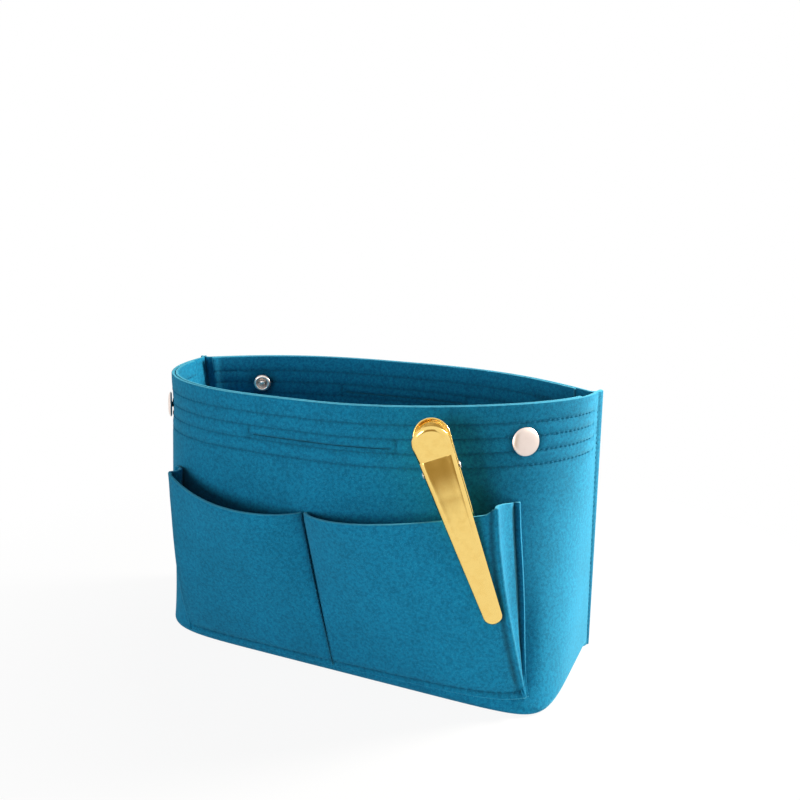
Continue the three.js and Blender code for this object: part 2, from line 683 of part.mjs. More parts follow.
// A jaw is a shallow pressed channel: a flat web with its edges turned towards the felt.
function jawShell(side) {
  const across = [-1, -0.86, -0.6, 0, 0.6, 0.86, 1];
  const grid = jawStations().map((z) => across.map((k) => {
    const turnedEdge = CLIP_EDGE_DEPTH * Math.abs(k) ** 5;
    const y = jawStandoff(z) - turnedEdge + CLIP_METAL;
    return new THREE.Vector3(k * jawHalfWidth(z), side * y, z);
  }));
  const facing = side < 0 ? grid : grid.map((row) => row.toReversed());
  return feltSheet(facing, CLIP_METAL);
}

// A pair of ears that carry the pin, at a distance from the middle of the jaw.
function jawEars(side, centre) {
  const radius = CLIP_EAR_DIAMETER / 2;
  const outline = new THREE.Shape();
  const root = side * (PIN_TO_WEB + CLIP_METAL / 2);
  outline.moveTo(-radius, root);
  outline.lineTo(-radius, 0);
  outline.absarc(0, 0, radius, Math.PI, 0, side < 0);
  outline.lineTo(radius, root);
  outline.closePath();
  const bore = new THREE.Path();
  bore.absarc(0, 0, CLIP_PIN_DIAMETER / 2 + CLIP_RUNNING_GAP, 0, 2 * Math.PI, false);
  outline.holes.push(bore);
  return [-1, 1].map((hand) => {
    const ear = new THREE.ExtrudeGeometry(outline, {
      depth: CLIP_EAR_THICKNESS,
      bevelEnabled: false,
      curveSegments: 8,
    });
    const turn = new THREE.Matrix4().makeBasis(
      new THREE.Vector3(0, 0, 1),
      new THREE.Vector3(0, 1, 0),
      new THREE.Vector3(-1, 0, 0),
    );
    return ear.applyMatrix4(turn).translate(hand * centre + CLIP_EAR_THICKNESS / 2, 0, 0);
  });
}

// The spring is one wire: a coil round the pin, with a leg up the inside of each jaw's head.
function springPath() {
  const radius = (CLIP_PIN_DIAMETER + SPRING_WIRE_DIAMETER) / 2 + SPRING_PIN_CLEARANCE;
  const coilLength = SPRING_TURNS * (SPRING_WIRE_DIAMETER + SPRING_TURN_GAP);
  const coil = steps(SPRING_TURNS * SPRING_STEPS_PER_TURN).map((t) => {
    const angle = Math.PI * (1 + 2 * SPRING_TURNS * t);
    return new THREE.Vector3((t - 0.5) * coilLength, radius * Math.cos(angle), radius * Math.sin(angle));
  });
  const legEnd = jawStandoff(SPRING_LEG_HEIGHT) - SPRING_WIRE_DIAMETER / 2 - SPRING_LEG_CLEARANCE;
  const leg = (foot, side) => [0.5, 1].map((t) => (
    new THREE.Vector3(foot.x, lerp(foot.y, side * legEnd, t), SPRING_LEG_HEIGHT * t)
  ));
  return [...leg(coil[0], -1).reverse(), ...coil, ...leg(coil[coil.length - 1], 1)];
}

// The least gap between parts of a wire that lie over half a turn apart along it.
function leastGap(path, wireDiameter) {
  const apart = SPRING_STEPS_PER_TURN / 2;
  let least = Infinity;
  path.forEach((point, i) => {
    for (const other of path.slice(i + apart + 1)) least = Math.min(least, point.distanceTo(other));
  });
  return least - wireDiameter;
}

function clipSpring() {
  const path = springPath();
  console.log(`clip_spring: least gap to itself ${leastGap(path, SPRING_WIRE_DIAMETER).toFixed(2)} mm`);
  return sweep(path, SPRING_WIRE_DIAMETER / 2, SPRING_SIDES);
}

// A round wire along a path of points, closed at both ends.
function sweep(path, radius, sides) {
  const positions = [];
  const index = [];
  path.forEach((point, k) => {
    const before = path[Math.max(0, k - 1)];
    const after = path[Math.min(path.length - 1, k + 1)];
    const along = after.clone().sub(before).normalize();
    const across = new THREE.Vector3(1, 0, 0).cross(along).normalize();
    const third = along.clone().cross(across);
    for (let s = 0; s < sides; s++) {
      const angle = (s / sides) * 2 * Math.PI;
      const ring = point.clone()
        .addScaledVector(across, radius * Math.cos(angle))
        .addScaledVector(third, radius * Math.sin(angle));
      positions.push(ring.x, ring.y, ring.z);
    }
  });
  for (let k = 0; k < path.length - 1; k++) {
    for (let s = 0; s < sides; s++) {
      const next = (s + 1) % sides;
      const a = k * sides + s;
      const b = k * sides + next;
      index.push(a, b, b + sides, a, b + sides, a + sides);
    }
  }
  const endStart = (path.length - 1) * sides;
  for (let s = 1; s < sides - 1; s++) {
    index.push(0, s + 1, s);
    index.push(endStart, endStart + s, endStart + s + 1);
  }
  const geometry = new THREE.BufferGeometry();
  geometry.setAttribute('position', new THREE.Float32BufferAttribute(positions, 3));
  geometry.setIndex(index);
  return geometry;
}

function hingePin(halfLength) {
  const radius = CLIP_PIN_DIAMETER / 2;
  const head = CLIP_PIN_HEAD_DIAMETER / 2;
  const headEnd = halfLength + CLIP_PIN_HEAD_THICKNESS;
  const profile = [
    [0, -headEnd], [head - 0.3, -headEnd], [head, -headEnd + 0.3], [head, -halfLength], [radius, -halfLength],
    [radius, halfLength], [head, halfLength], [head, headEnd - 0.3], [head - 0.3, headEnd], [0, headEnd],
  ];
  return turned(profile, 16).rotateY(Math.PI / 2);
}

// The clip's frame on the right pocket: its Z axis runs up the pocket's face from the tip's
// place to the rim's, and its Y axis points into the bag, square to the felt there.
function clipFrame() {
  const pocket = POCKETS[1];
  const rim = pocketPoint(pocket, CLIP_RIM_PLACE, 1);
  const tip = pocketPoint(pocket, CLIP_TIP_PLACE, CLIP_TIP_HEIGHT_SHARE);
  const beside = pocketPoint(pocket, CLIP_RIM_PLACE - 0.05, 0.8);
  const up = rim.clone().sub(tip).normalize();
  const across = pocketPoint(pocket, CLIP_RIM_PLACE + 0.1, 0.8).sub(beside);
  const inward = up.clone().cross(across).normalize();
  const sideways = inward.clone().cross(up).normalize();
  const origin = rim.clone()
    .addScaledVector(inward, FELT_THICKNESS / 2 - CLIP_FELT_BOW)
    .addScaledVector(up, CLIP_HINGE_ABOVE_RIM);
  return new THREE.Matrix4().makeBasis(sideways, inward, up).setPosition(origin);
}

function addClip() {
  const clip = new THREE.Group();
  clipFrame().decompose(clip.position, clip.quaternion, clip.scale);
  bag.add(clip);
  const outerEar = jawHalfWidth(0) - CLIP_EAR_INSET - CLIP_EAR_THICKNESS / 2;
  const innerEar = outerEar - CLIP_EAR_THICKNESS - CLIP_RUNNING_GAP;
  const pinHalfLength = jawHalfWidth(0) + CLIP_RUNNING_GAP;
  addMesh('clip_front_jaw', join([jawShell(-1), ...jawEars(-1, outerEar)]), goldMetal, clip);
  addMesh('clip_back_jaw', join([jawShell(1), ...jawEars(1, innerEar)]), goldMetal, clip);
  addMesh('clip_hinge_pin', hingePin(pinHalfLength), steelMetal, clip);
  addMesh('clip_spring', clipSpring(), steelMetal, clip);
}

addWalls();
addBasePanel();
POCKETS.forEach(addPocketFront);
POCKETS.forEach(addPocketGusset);
addInnerPockets();
addSnaps();
addClip();

// The origin is on the floor, in the middle of everything.
const middle = new THREE.Box3().setFromObject(bag).getCenter(new THREE.Vector3());
bag.position.set(-middle.x, -middle.y, 0);

const organizer = new THREE.Group();
organizer.add(bag);

export default organizer;
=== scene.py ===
"""A felt organizer bag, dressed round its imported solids.

The bag is a boxy felt body with a lens-shaped mouth, two bellows pockets in front, slip pockets
inside, four snap fasteners and a long gold clip. Lengths are millimetres in the bag's own frame:
X along the bag, the front facing -Y, Z up from the floor, the origin under the body's middle.
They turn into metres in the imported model's frame where a mesh is made.
"""

import logging
import math
from dataclasses import dataclass, field
from enum import Enum
from typing import Callable, Optional, Sequence

import bpy
import numpy as np
from mathutils import Matrix, Vector


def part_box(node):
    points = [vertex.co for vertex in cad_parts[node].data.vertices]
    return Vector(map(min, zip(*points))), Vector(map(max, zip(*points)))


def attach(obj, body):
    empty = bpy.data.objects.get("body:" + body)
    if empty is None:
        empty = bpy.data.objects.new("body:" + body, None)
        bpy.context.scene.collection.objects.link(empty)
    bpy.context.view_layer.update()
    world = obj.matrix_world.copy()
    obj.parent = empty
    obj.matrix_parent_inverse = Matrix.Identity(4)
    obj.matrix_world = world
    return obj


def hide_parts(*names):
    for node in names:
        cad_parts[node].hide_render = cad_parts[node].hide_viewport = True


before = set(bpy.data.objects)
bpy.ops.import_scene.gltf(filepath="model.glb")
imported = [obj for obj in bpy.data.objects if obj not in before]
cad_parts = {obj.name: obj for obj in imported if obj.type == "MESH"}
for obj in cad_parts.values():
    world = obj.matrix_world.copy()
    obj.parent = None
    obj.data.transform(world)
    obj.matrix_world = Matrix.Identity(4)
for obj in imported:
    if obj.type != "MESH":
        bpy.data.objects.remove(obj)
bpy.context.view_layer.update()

log = logging.getLogger("organizer")

MILLIMETRE = 0.001
POLE_RADIUS = 1e-4  # stands for 0 where a ring shrinks to a point
EDGE_ANGLES = (30.0, 60.0, 90.0)  # the rows that round a sheet's edge, in degrees
FAR_IN = -99.0  # the place on a flange of points that lie on the wall
WHITE = (1.0, 1.0, 1.0, 1.0)
Array = np.ndarray
Pair = tuple[float, float]
Triple = tuple[float, float, float]
Socket = bpy.types.NodeSocket
Material = bpy.types.Material


class Side(Enum):
    """The two ends of the bag, as the sign of their X."""

    LEFT = -1
    RIGHT = 1


class Body(Enum):
    """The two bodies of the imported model."""

    BAG = "bag"
    LEVER = "clip_lever"


class Slot(Enum):
    """Material slot names."""

    FELT = "teal_felt"
    SNAP = "snap_metal"
    GOLD = "gold_metal"
    STEEL = "steel_metal"


def lerp(start: Array, stop: Array, share: Array) -> Array:
    """Mixes from start to stop by a share from 0 to 1."""
    return start + (stop - start) * share


def smooth(share: Array) -> Array:
    """Eases a share from 0 to 1, flat at both ends."""
    held = np.clip(share, 0.0, 1.0)
    return held * held * (3.0 - 2.0 * held)


def ease(value: Array, start: float, length: float) -> Array:
    """Eases from 0 to 1 as a value runs on from a start over a length."""
    return smooth((value - start) / length)


def bell(away: Array, width: float) -> Array:
    """Returns 1 where away is 0, falling off to both sides over a width."""
    return np.exp(-((away / width) ** 2))


def alike(*arrays: Array) -> list[Array]:
    """Returns the arrays as floats in one shape."""
    return [array.astype(float) for array in np.broadcast_arrays(*arrays)]


def unit(vectors: Array) -> Array:
    """Scales vectors on the last axis to length one."""
    length = np.linalg.norm(vectors, axis=-1, keepdims=True)
    return vectors / np.maximum(length, 1e-12)


def stations(
    start: float, stop: float, steps: Triple, lines: Sequence[float] = (), exact: Sequence[float] = ()
) -> Array:
    """Places stations from start to stop, close together near given lines.

    Args:
        start: The first station.
        stop: The last station.
        steps: The longest step, the longest near a line, and how far from a line that holds.
        lines: Where fine steps are wanted.
        exact: Places that get a station of their own.

    Returns:
        The stations, rising.
    """
    coarse, fine, reach = steps
    marks = {start, stop, *exact}
    for line in lines:
        marks |= {line - reach, line + reach}
    kept = sorted({round(float(mark), 6) for mark in marks if start <= mark <= stop})
    pieces = []
    for low, high in zip(kept, kept[1:]):
        near = any(abs((low + high) / 2 - line) < reach for line in lines)
        count = max(1, math.ceil((high - low) / (fine if near else coarse) - 1e-9))
        pieces.append(np.linspace(low, high, count, endpoint=False))
    return np.append(np.concatenate(pieces), kept[-1])


def rounded(start: Array, corner: Array, stop: Array, count: int) -> Array:
    """Rounds a corner with a quadratic curve.

    Args:
        start: Where the rounding starts.
        corner: The corner itself.
        stop: Where the rounding ends.
        count: How many points, both ends included.

    Returns:
        The curve's points, on a new axis before the last one.
    """
    t = np.linspace(0.0, 1.0, count)[:, None]
    start, corner, stop = (np.asarray(point)[..., None, :] for point in (start, corner, stop))
    return (1 - t) ** 2 * start + 2 * t * (1 - t) * corner + t**2 * stop


def once_round(sides: int) -> Array:
    """Returns the angles of so many even steps round a circle."""
    return np.arange(sides) * 2 * math.pi / sides


def ring_faces(low: Array, high: Array) -> Array:
    """Lists the faces between rings of point numbers and the rings next to them."""
    corners = [low, np.roll(low, -1, axis=-1), np.roll(high, -1, axis=-1), high]
    return np.stack(corners, -1).reshape(-1, 4)


def grid_normals(grid: Array) -> Array:
    """Finds the outward normals of a grid whose rows run up and whose columns run right."""
    return unit(np.cross(np.gradient(grid, axis=1), np.gradient(grid, axis=0)))


@dataclass
class BagForm:
    """The overall form that every felt layer follows.

    The front wall is developed flat: a place on it is a distance along the felt from the middle of
    the front, right being positive, and a height. The back wall's places run from -1 at the left
    corner to 1 at the right one.
    """

    wall_height: float = 160.0
    base_length: float = 252.0
    base_depth: float = 90.0
    mouth_length: float = 257.0
    base_edge_radius: float = 5.0
    seam_lean: float = 19.0
    front_bulge: float = 10.0
    front_bulge_height: float = 96.0
    front_bulge_power: float = 0.8
    base_front_skew: float = 4.0
    back_bow_base: float = 1.0
    back_bow_mouth: float = 36.0
    back_bow_power: float = 2.6
    left_base_rounding: float = 0.13
    right_base_rounding: float = 0.08
    left_mouth_rounding: float = 0.36
    right_mouth_rounding: float = 0.62
    rounding_rise_power: float = 0.7
    felt: float = 2.0
    layer_gap: float = 0.3
    band_gap: float = 0.05
    corner_gap: float = -0.2
    pocket_gap: float = 0.7
    flange_rim_width: float = 7.0
    flange_foot_width: float = 3.2
    left_flange: Pair = (45.0, 0.62)
    right_flange: Pair = (70.0, 1.0)
    ripple_depth: float = 0.3
    ripple_rise: float = 60.0
    ripple_short: Triple = (17.0, 39.0, 1.1)
    ripple_long: Triple = (29.0, 23.0, 2.0)
    ripple_long_share: float = 0.6
    ripple_from_seam: float = 18.0
    ripple_back_reach: float = 90.0
    ripple_back_fade: float = 6.0
    pull_place: float = 113.0
    pull_width: float = 7.0
    pull_depth: float = 2.2
    pull_start: Pair = (3.0, 15.0)
    pull_stop: Pair = (34.0, 46.0)
    sample_step: float = 0.5
    samples: int = 1200
    _heights: Array = field(init=False, repr=False)
    _plans: dict = field(init=False, repr=False)

    def __post_init__(self) -> None:
        """Tabulates both halves of the front wall."""
        rolled = np.linspace(0.0, self.base_edge_radius, 26)
        rest = np.arange(self.base_edge_radius + 1.0, self.wall_height + 1.5, 1.0)
        self._heights = np.concatenate([rolled, rest])
        self._plans = {side: self._tabulate(side.value) for side in Side}

    def edge_tuck(self, height: Array) -> Array:
        """Returns how far the rolled base edge draws in at a height."""
        below = np.clip(1.0 - height / self.base_edge_radius, 0.0, 1.0)
        return self.base_edge_radius * (1.0 - np.sqrt(1.0 - below * below))

    def seam_x(self, height: Array) -> Array:
        """Returns the back corners' distance from the middle at a height."""
        share = height / self.wall_height
        return lerp(self.base_length, self.mouth_length, share) / 2 - self.edge_tuck(height)

    def seam_y(self, height: Array) -> Array:
        """Returns the back corners' place front to back at a height."""
        lean = self.seam_lean * height / self.wall_height
        return self.base_depth / 2 - lean - self.edge_tuck(height)

    def front_y(self, height: Array) -> Array:
        """Returns the front's place at the middle, at a height."""
        rise = np.minimum(1.0, height / self.front_bulge_height) ** self.front_bulge_power
        return -self.base_depth / 2 - self.front_bulge * rise + self.edge_tuck(height)

    def _tabulate(self, side: int) -> tuple[Array, Array]:
        """Samples one half of the front wall.

        Args:
            side: The sign of the half's X.

        Returns:
            The plan points by height and distance, and the developed length at each height.
        """
        base = self.right_base_rounding if side > 0 else self.left_base_rounding
        mouth = self.right_mouth_rounding if side > 0 else self.left_mouth_rounding
        angle = np.linspace(0.0, math.pi / 2, self.samples + 1)
        rows = []
        for height in self._heights:
            rise = height / self.wall_height
            power = 2 * lerp(base, mouth, rise**self.rounding_rise_power)
            aside, forward = np.sin(angle) ** power, np.maximum(0.0, np.cos(angle)) ** power
            skew = side * self.base_front_skew * (1 - rise) * aside
            depth = self.seam_y(height) - self.front_y(height) + skew
            x = side * self.seam_x(height) * aside
            y = self.seam_y(height) - depth * forward
            length = np.append(0.0, np.cumsum(np.hypot(np.diff(x), np.diff(y))))
            rows.append((x, y, length))
        totals = np.array([length[-1] for _, _, length in rows])
        distances = np.arange(0.0, totals.max() + 2.0, self.sample_step)
        plan = [[np.interp(distances, length, line) for line in (x, y)] for x, y, length in rows]
        return np.array(plan).transpose(0, 2, 1), totals

    def half_length(self, side: Side, height: Array) -> Array:
        """Returns the developed length of one half of the front wall at a height."""
        return np.interp(height, self._heights, self._plans[side][1])

    def _plan(self, distance: Array, height: Array) -> Array:
        """Looks up plan points for signed distances and heights."""
        row = np.clip(np.searchsorted(self._heights, height, side="right") - 1, 0, len(self._heights) - 2)
        low, high = self._heights[row], self._heights[row + 1]
        up = np.clip((height - low) / (high - low), 0.0, 1.0)[..., None]
        found = []
        for side in Side:
            plan = self._plans[side][0]
            place = np.clip(np.abs(distance) / self.sample_step, 0.0, plan.shape[1] - 1.001)
            column = place.astype(int)
            along = (place - column)[..., None]
            lower = lerp(plan[row, column], plan[row, column + 1], along)
            upper = lerp(plan[row + 1, column], plan[row + 1, column + 1], along)
            found.append(lerp(lower, upper, up))
        return np.where((distance < 0)[..., None], found[0], found[1])

    def ripple(self, distance: Array, height: Array) -> Array:
        """Returns the felt's slight waviness, and the dent that the right pocket's seam pulls."""
        length, rise, swing = self.ripple_short
        wave = np.sin(distance / length + swing * np.sin(height / rise))
        length, rise, start = self.ripple_long
        wave = wave + self.ripple_long_share * np.sin(distance / length + height / rise + start)
        pulled = bell(distance - self.pull_place, self.pull_width)
        pulled = pulled * ease(height, *self.pull_start) * (1 - ease(height, *self.pull_stop))
        return self.ripple_depth * wave * smooth(height / self.ripple_rise) - self.pull_depth * pulled

    def wall(self, distance: Array, height: Array, standoff: Array = 0.0) -> Array:
        """Finds points on the front wall's outer face, or stood off from it.

        Args:
            distance: Signed developed distances from the middle of the front.
            height: Heights above the floor.
            standoff: How far out of the felt's outer face.

        Returns:
            Points in the bag's frame.
        """
        distance, height, standoff = alike(distance, height, standoff)
        here = self._plan(distance, height)
        along = unit(self._plan(distance + 1.0, height) - self._plan(distance - 1.0, height))
        outward = np.stack([along[..., 1], -along[..., 0]], -1)
        ends = [self.half_length(side, height) for side in Side]
        from_seam = np.where(distance < 0, ends[0], ends[1]) - np.abs(distance)
        off = standoff + self.ripple(distance, height) * smooth(from_seam / self.ripple_from_seam)
        placed = here + outward * off[..., None]
        return np.concatenate([placed, height[..., None]], -1)

    def flange_width(self, height: Array) -> Array:
        """Returns how far the corner seams' flanges stand out at a height."""
        return lerp(self.flange_foot_width, self.flange_rim_width, height / self.wall_height)

    def back_corner(self, height: Array) -> tuple[Array, Array]:
        """Returns the right back corner of the back wall at a height; the left one mirrors it."""
        across = math.sqrt(0.5) * (2 * self.felt + self.corner_gap)
        return self.seam_x(height) - across, self.seam_y(height) + across

    def back(self, place: Array, height: Array, standoff: Array = 0.0) -> Array:
        """Finds points on the back wall's outer face, or stood off from it.

        Args:
            place: From -1 at the left corner to 1 at the right one.
            height: Heights above the floor.
            standoff: How far out of the felt's outer face.

        Returns:
            Points in the bag's frame.
        """
        place, height, standoff = alike(place, height, standoff)
        corner_x, corner_y = self.back_corner(height)
        bow = lerp(self.back_bow_base, self.back_bow_mouth, height / self.wall_height)
        reach = np.abs(place)
        slope = bow * self.back_bow_power * reach ** (self.back_bow_power - 1) * np.sign(place)
        outward = unit(np.stack([slope / corner_x, np.ones_like(slope)], -1))
        ripple = self.ripple(place * self.ripple_back_reach, height)
        off = standoff + ripple * smooth((1.0 - reach) * self.ripple_back_fade)
        x = corner_x * place + outward[..., 0] * off
        y = corner_y + bow * (1.0 - reach**self.back_bow_power) + outward[..., 1] * off
        return np.stack([x, y, height], -1)


FORM = BagForm()


def frame_shift() -> Array:
    """Finds the bag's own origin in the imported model's frame, in millimetres, from the back wall."""
    low, high = (np.array(corner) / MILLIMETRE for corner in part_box("back_wall"))
    corner = FORM.seam_y(FORM.wall_height) + math.sqrt(0.5) * (2 * FORM.felt + FORM.layer_gap)
    crown = corner + FORM.back_bow_mouth
    return np.array([(low[0] + high[0]) / 2, high[1] - crown, 0.0])


SHIFT = frame_shift()


def to_frame(points: Array) -> Array:
    """Turns millimetres in the bag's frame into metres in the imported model's frame."""
    return (points + SHIFT) * MILLIMETRE


@dataclass
class MeshData:
    """Points in the bag's frame, blocks of faces with equal corner counts, and numbers per point by name."""

    points: Array
    faces: list[Array]
    marks: dict[str, Array] = field(default_factory=dict)

    @staticmethod
    def joined(parts: Sequence["MeshData"]) -> "MeshData":
        """Puts several meshes into one."""
        starts = np.append(0, np.cumsum([len(part.points) for part in parts]))
        faces = [block + start for part, start in zip(parts, starts) for block in part.faces]
        names = sorted({name for part in parts for name in part.marks})
        marks = {
            name: np.concatenate([part.marks.get(name, np.zeros(len(part.points))) for part in parts])
            for name in names
        }
        return MeshData(np.concatenate([part.points for part in parts]), faces, marks)

    def without_loose(self) -> "MeshData":
        """Drops the points that no face uses."""
        used = np.zeros(len(self.points), bool)
        for block in self.faces:
            used[block.ravel()] = True
        new = np.cumsum(used) - 1
        marks = {name: values[used] for name, values in self.marks.items()}
        return MeshData(self.points[used], [new[block] for block in self.faces], marks)

    def moved(self, matrix: Array, origin: Array) -> "MeshData":
        """Places the mesh by an orientation, whose columns are its axes, and an origin."""
        return MeshData(self.points @ matrix.T + origin, self.faces, self.marks)

    def to_object(self, name: str, material: Material) -> bpy.types.Object:
        """Makes the Blender object, in metres, with smooth faces.

        Args:
            name: The piece's name.
            material: Its finish.

        Returns:
            The linked object.
        """
        mesh = bpy.data.meshes.new(name)
        corners = np.concatenate([block.ravel() for block in self.faces]).astype(np.int32)
        sizes = np.concatenate([np.full(len(block), block.shape[1]) for block in self.faces])
        mesh.vertices.add(len(self.points))
        mesh.vertices.foreach_set("co", to_frame(self.points).astype(np.float32).ravel())
        mesh.loops.add(len(corners))
        mesh.loops.foreach_set("vertex_index", corners)
        mesh.polygons.add(len(sizes))
        mesh.polygons.foreach_set("loop_start", np.append(0, np.cumsum(sizes)[:-1]).astype(np.int32))
        mesh.polygons.foreach_set("use_smooth", np.ones(len(sizes), bool))
        for mark, values in self.marks.items():
            attribute = mesh.attributes.new(mark, "FLOAT", "POINT")
            attribute.data.foreach_set("value", np.asarray(values, np.float32))
        mesh.materials.append(material)
        mesh.update(calc_edges=True)
        mesh.validate()
        piece = bpy.data.objects.new(name, mesh)
        bpy.context.scene.collection.objects.link(piece)
        return piece


@dataclass
class Sheet:
    """A sheet of even thickness on a grid of its outer face, with softened edges.

    Rows run up and columns run right as seen from the outer face. front and back are reliefs in
    millimetres that raise either face; the next field runs to 1 along a fold's crest, where the felt
    is painted paler as a highlight; hole marks the grid cells that are cut out. The edges' radius
    takes at most edge_share of half the thickness.
    """

    outer: Array
    thickness: float = FORM.felt
    front: Optional[Array] = None
    back: Optional[Array] = None
    wear_and_painted_highlight: Optional[Array] = None
    hole: Optional[Array] = None
    edge_radius: float = 0.55
    edge_share: float = 0.9

    @staticmethod
    def _edge_profile(count: int) -> tuple[Array, Array, Array]:
        """Lists the rows, or columns, with the edge rounding's own added at both ends.

        Args:
            count: How many rows the grid has.

        Returns:
            Each one's row in the grid, and as shares of the edge radius, how far it reaches out and
            how far the sheet thins there.
        """
        angles = np.radians(EDGE_ANGLES)
        more = len(EDGE_ANGLES)
        index = np.concatenate([np.zeros(more, int), np.arange(count), np.full(more, count - 1)])
        reach = np.concatenate([-np.sin(angles[::-1]), np.zeros(count), np.sin(angles)])
        return index, reach, 1.0 - np.sqrt(1.0 - np.minimum(1.0, reach * reach))

    def build(self) -> MeshData:
        """Makes the closed sheet.

        Returns:
            Its mesh, with the marks "groove", the relief's depth, which the felt paints as shade, and
            "edge", 1 on cut edges and on folds' crests, which the felt paints paler as a highlight.
        """
        high, wide = self.outer.shape[:2]
        normals = grid_normals(self.outer)
        half = self.thickness / 2
        radius = min(self.edge_radius, half * self.edge_share)
        middle = self.outer - normals * half
        up_ends = unit(np.stack([middle[1] - middle[0], middle[-1] - middle[-2]]))
        right_ends = unit(np.stack([middle[:, 1] - middle[:, 0], middle[:, -1] - middle[:, -2]]))
        for row, sign in ((0, 1), (-1, -1)):
            middle[row] += sign * up_ends[row] * radius
            middle[:, row] += sign * right_ends[row] * radius
        row, row_reach, row_thin = self._edge_profile(high)
        column, column_reach, column_thin = self._edge_profile(wide)
        pick = np.ix_(row, column)
        up = np.where((row_reach < 0)[:, None, None], up_ends[0][column], up_ends[1][column])
        right = np.where((column_reach < 0)[:, None, None], right_ends[0][row], right_ends[1][row])
        aside = right.transpose(1, 0, 2) * (column_reach * radius)[:, None]
        spread = middle[pick] + up * (row_reach * radius)[:, None, None] + aside
        thin = np.maximum(row_thin[:, None], column_thin) * radius
        flat = np.zeros((high, wide))
        front = (flat if self.front is None else self.front)[pick]
        back = (flat if self.back is None else self.back)[pick]
        # painted highlight along a fold's crest; it joins the edge mark
        wear_and_painted_highlight = (flat if self.wear_and_painted_highlight is None else self.wear_and_painted_highlight)[pick].ravel()
        normal = normals[pick]
        face = spread + normal * (half - thin + front)[..., None]
        rear = spread - normal * (half - thin + back)[..., None]
        solid = np.ones((len(row) - 1, len(column) - 1), bool)
        if self.hole is not None:
            inner = slice(len(EDGE_ANGLES), -len(EDGE_ANGLES))
            solid[inner, inner] &= ~self.hole
        edge = np.maximum(np.abs(row_reach)[:, None], np.abs(column_reach)).ravel()
        # groove: the relief's depth, painted as shade by the felt; edge: cut edges and crests, painted paler
        # as a highlight
        marks = {
            "groove": np.maximum(0.0, -np.concatenate([front.ravel(), back.ravel()])),
            "edge": np.concatenate([np.maximum(edge, wear_and_painted_highlight), edge]),
        }
        points = np.concatenate([face.reshape(-1, 3), rear.reshape(-1, 3)])
        return MeshData(points, [self._faces(solid)], marks).without_loose()

    @staticmethod
    def _faces(solid: Array) -> Array:
        """Lists the faces of both sides and of every edge where a kept cell has no kept neighbour.

        Args:
            solid: Which cells are kept.

        Returns:
            Four point numbers a row; the inner side's points follow the outer side's.
        """
        high, wide = solid.shape[0] + 1, solid.shape[1] + 1
        number = np.arange(high * wide).reshape(high, wide)
        inner = high * wide
        corners = ((0, 0), (0, 1), (1, 1), (1, 0))
        cells = np.stack([number[j : high - 1 + j, i : wide - 1 + i][solid] for j, i in corners], -1)
        blocks = [cells, cells[:, ::-1] + inner]
        padded = np.pad(solid, 1)
        for k, (dj, di) in enumerate(((-1, 0), (0, 1), (1, 0), (0, -1))):
            beside = padded[1 + dj : high + dj, 1 + di : wide + di]
            j, i = np.nonzero(solid & ~beside)
            first = number[j + corners[k][0], i + corners[k][1]]
            second = number[j + corners[(k + 1) % 4][0], i + corners[(k + 1) % 4][1]]
            blocks.append(np.stack([second, first, first + inner, second + inner], -1))
        return np.concatenate(blocks)


def lathe(profile: Sequence[Pair], sides: int = 56) -> MeshData:
    """Turns a profile about the Z axis.

    Args:
        profile: Radius and height pairs, counter-clockwise; where both ends lie off the axis, it closes.
        sides: Steps round the axis.

    Returns:
        The turned mesh, with the mark "radius".
    """
    radius, height = np.array(profile, float).T
    radius = np.maximum(radius, POLE_RADIUS)
    angle = once_round(sides)
    ring = np.stack([np.cos(angle), np.sin(angle)], -1)
    flat = radius[:, None, None] * ring
    points = np.concatenate([flat, np.broadcast_to(height[:, None, None], (*flat.shape[:2], 1))], -1)
    closed = radius[0] > 10 * POLE_RADIUS
    number = np.arange(len(radius) * sides).reshape(len(radius), sides)
    low = number if closed else number[:-1]
    high = np.roll(number, -1, axis=0)[: len(low)]
    return MeshData(points.reshape(-1, 3), [ring_faces(low, high)], {"radius": np.repeat(radius, sides)})


def tube(path: Array, radius: float, sides: int, ends: float = 1.0) -> MeshData:
    """Makes round rods along paths.

    Args:
        path: Points by rod and place along it.
        radius: The rods' radius.
        sides: Steps round a rod.
        ends: The radius at the very ends, as a share.

    Returns:
        All rods in one mesh, closed at both ends.
    """
    rods, places = path.shape[:2]
    off_the_paths = np.array([0.13, 0.21, 0.97])
    along = unit(np.gradient(path, axis=1))
    aside = unit(np.cross(along, off_the_paths))
    third = np.cross(along, aside)
    size = np.full(places, radius)
    size[[0, -1]] *= ends
    angle = once_round(sides)
    round_about = aside[:, :, None] * np.cos(angle)[:, None] + third[:, :, None] * np.sin(angle)[:, None]
    points = path[:, :, None] + round_about * size[:, None, None]
    number = np.arange(rods * places * sides).reshape(rods, places, sides)
    caps = np.concatenate([number[:, 0, ::-1], number[:, -1]])
    return MeshData(points.reshape(-1, 3), [ring_faces(number[:, :-1], number[:, 1:]), caps])


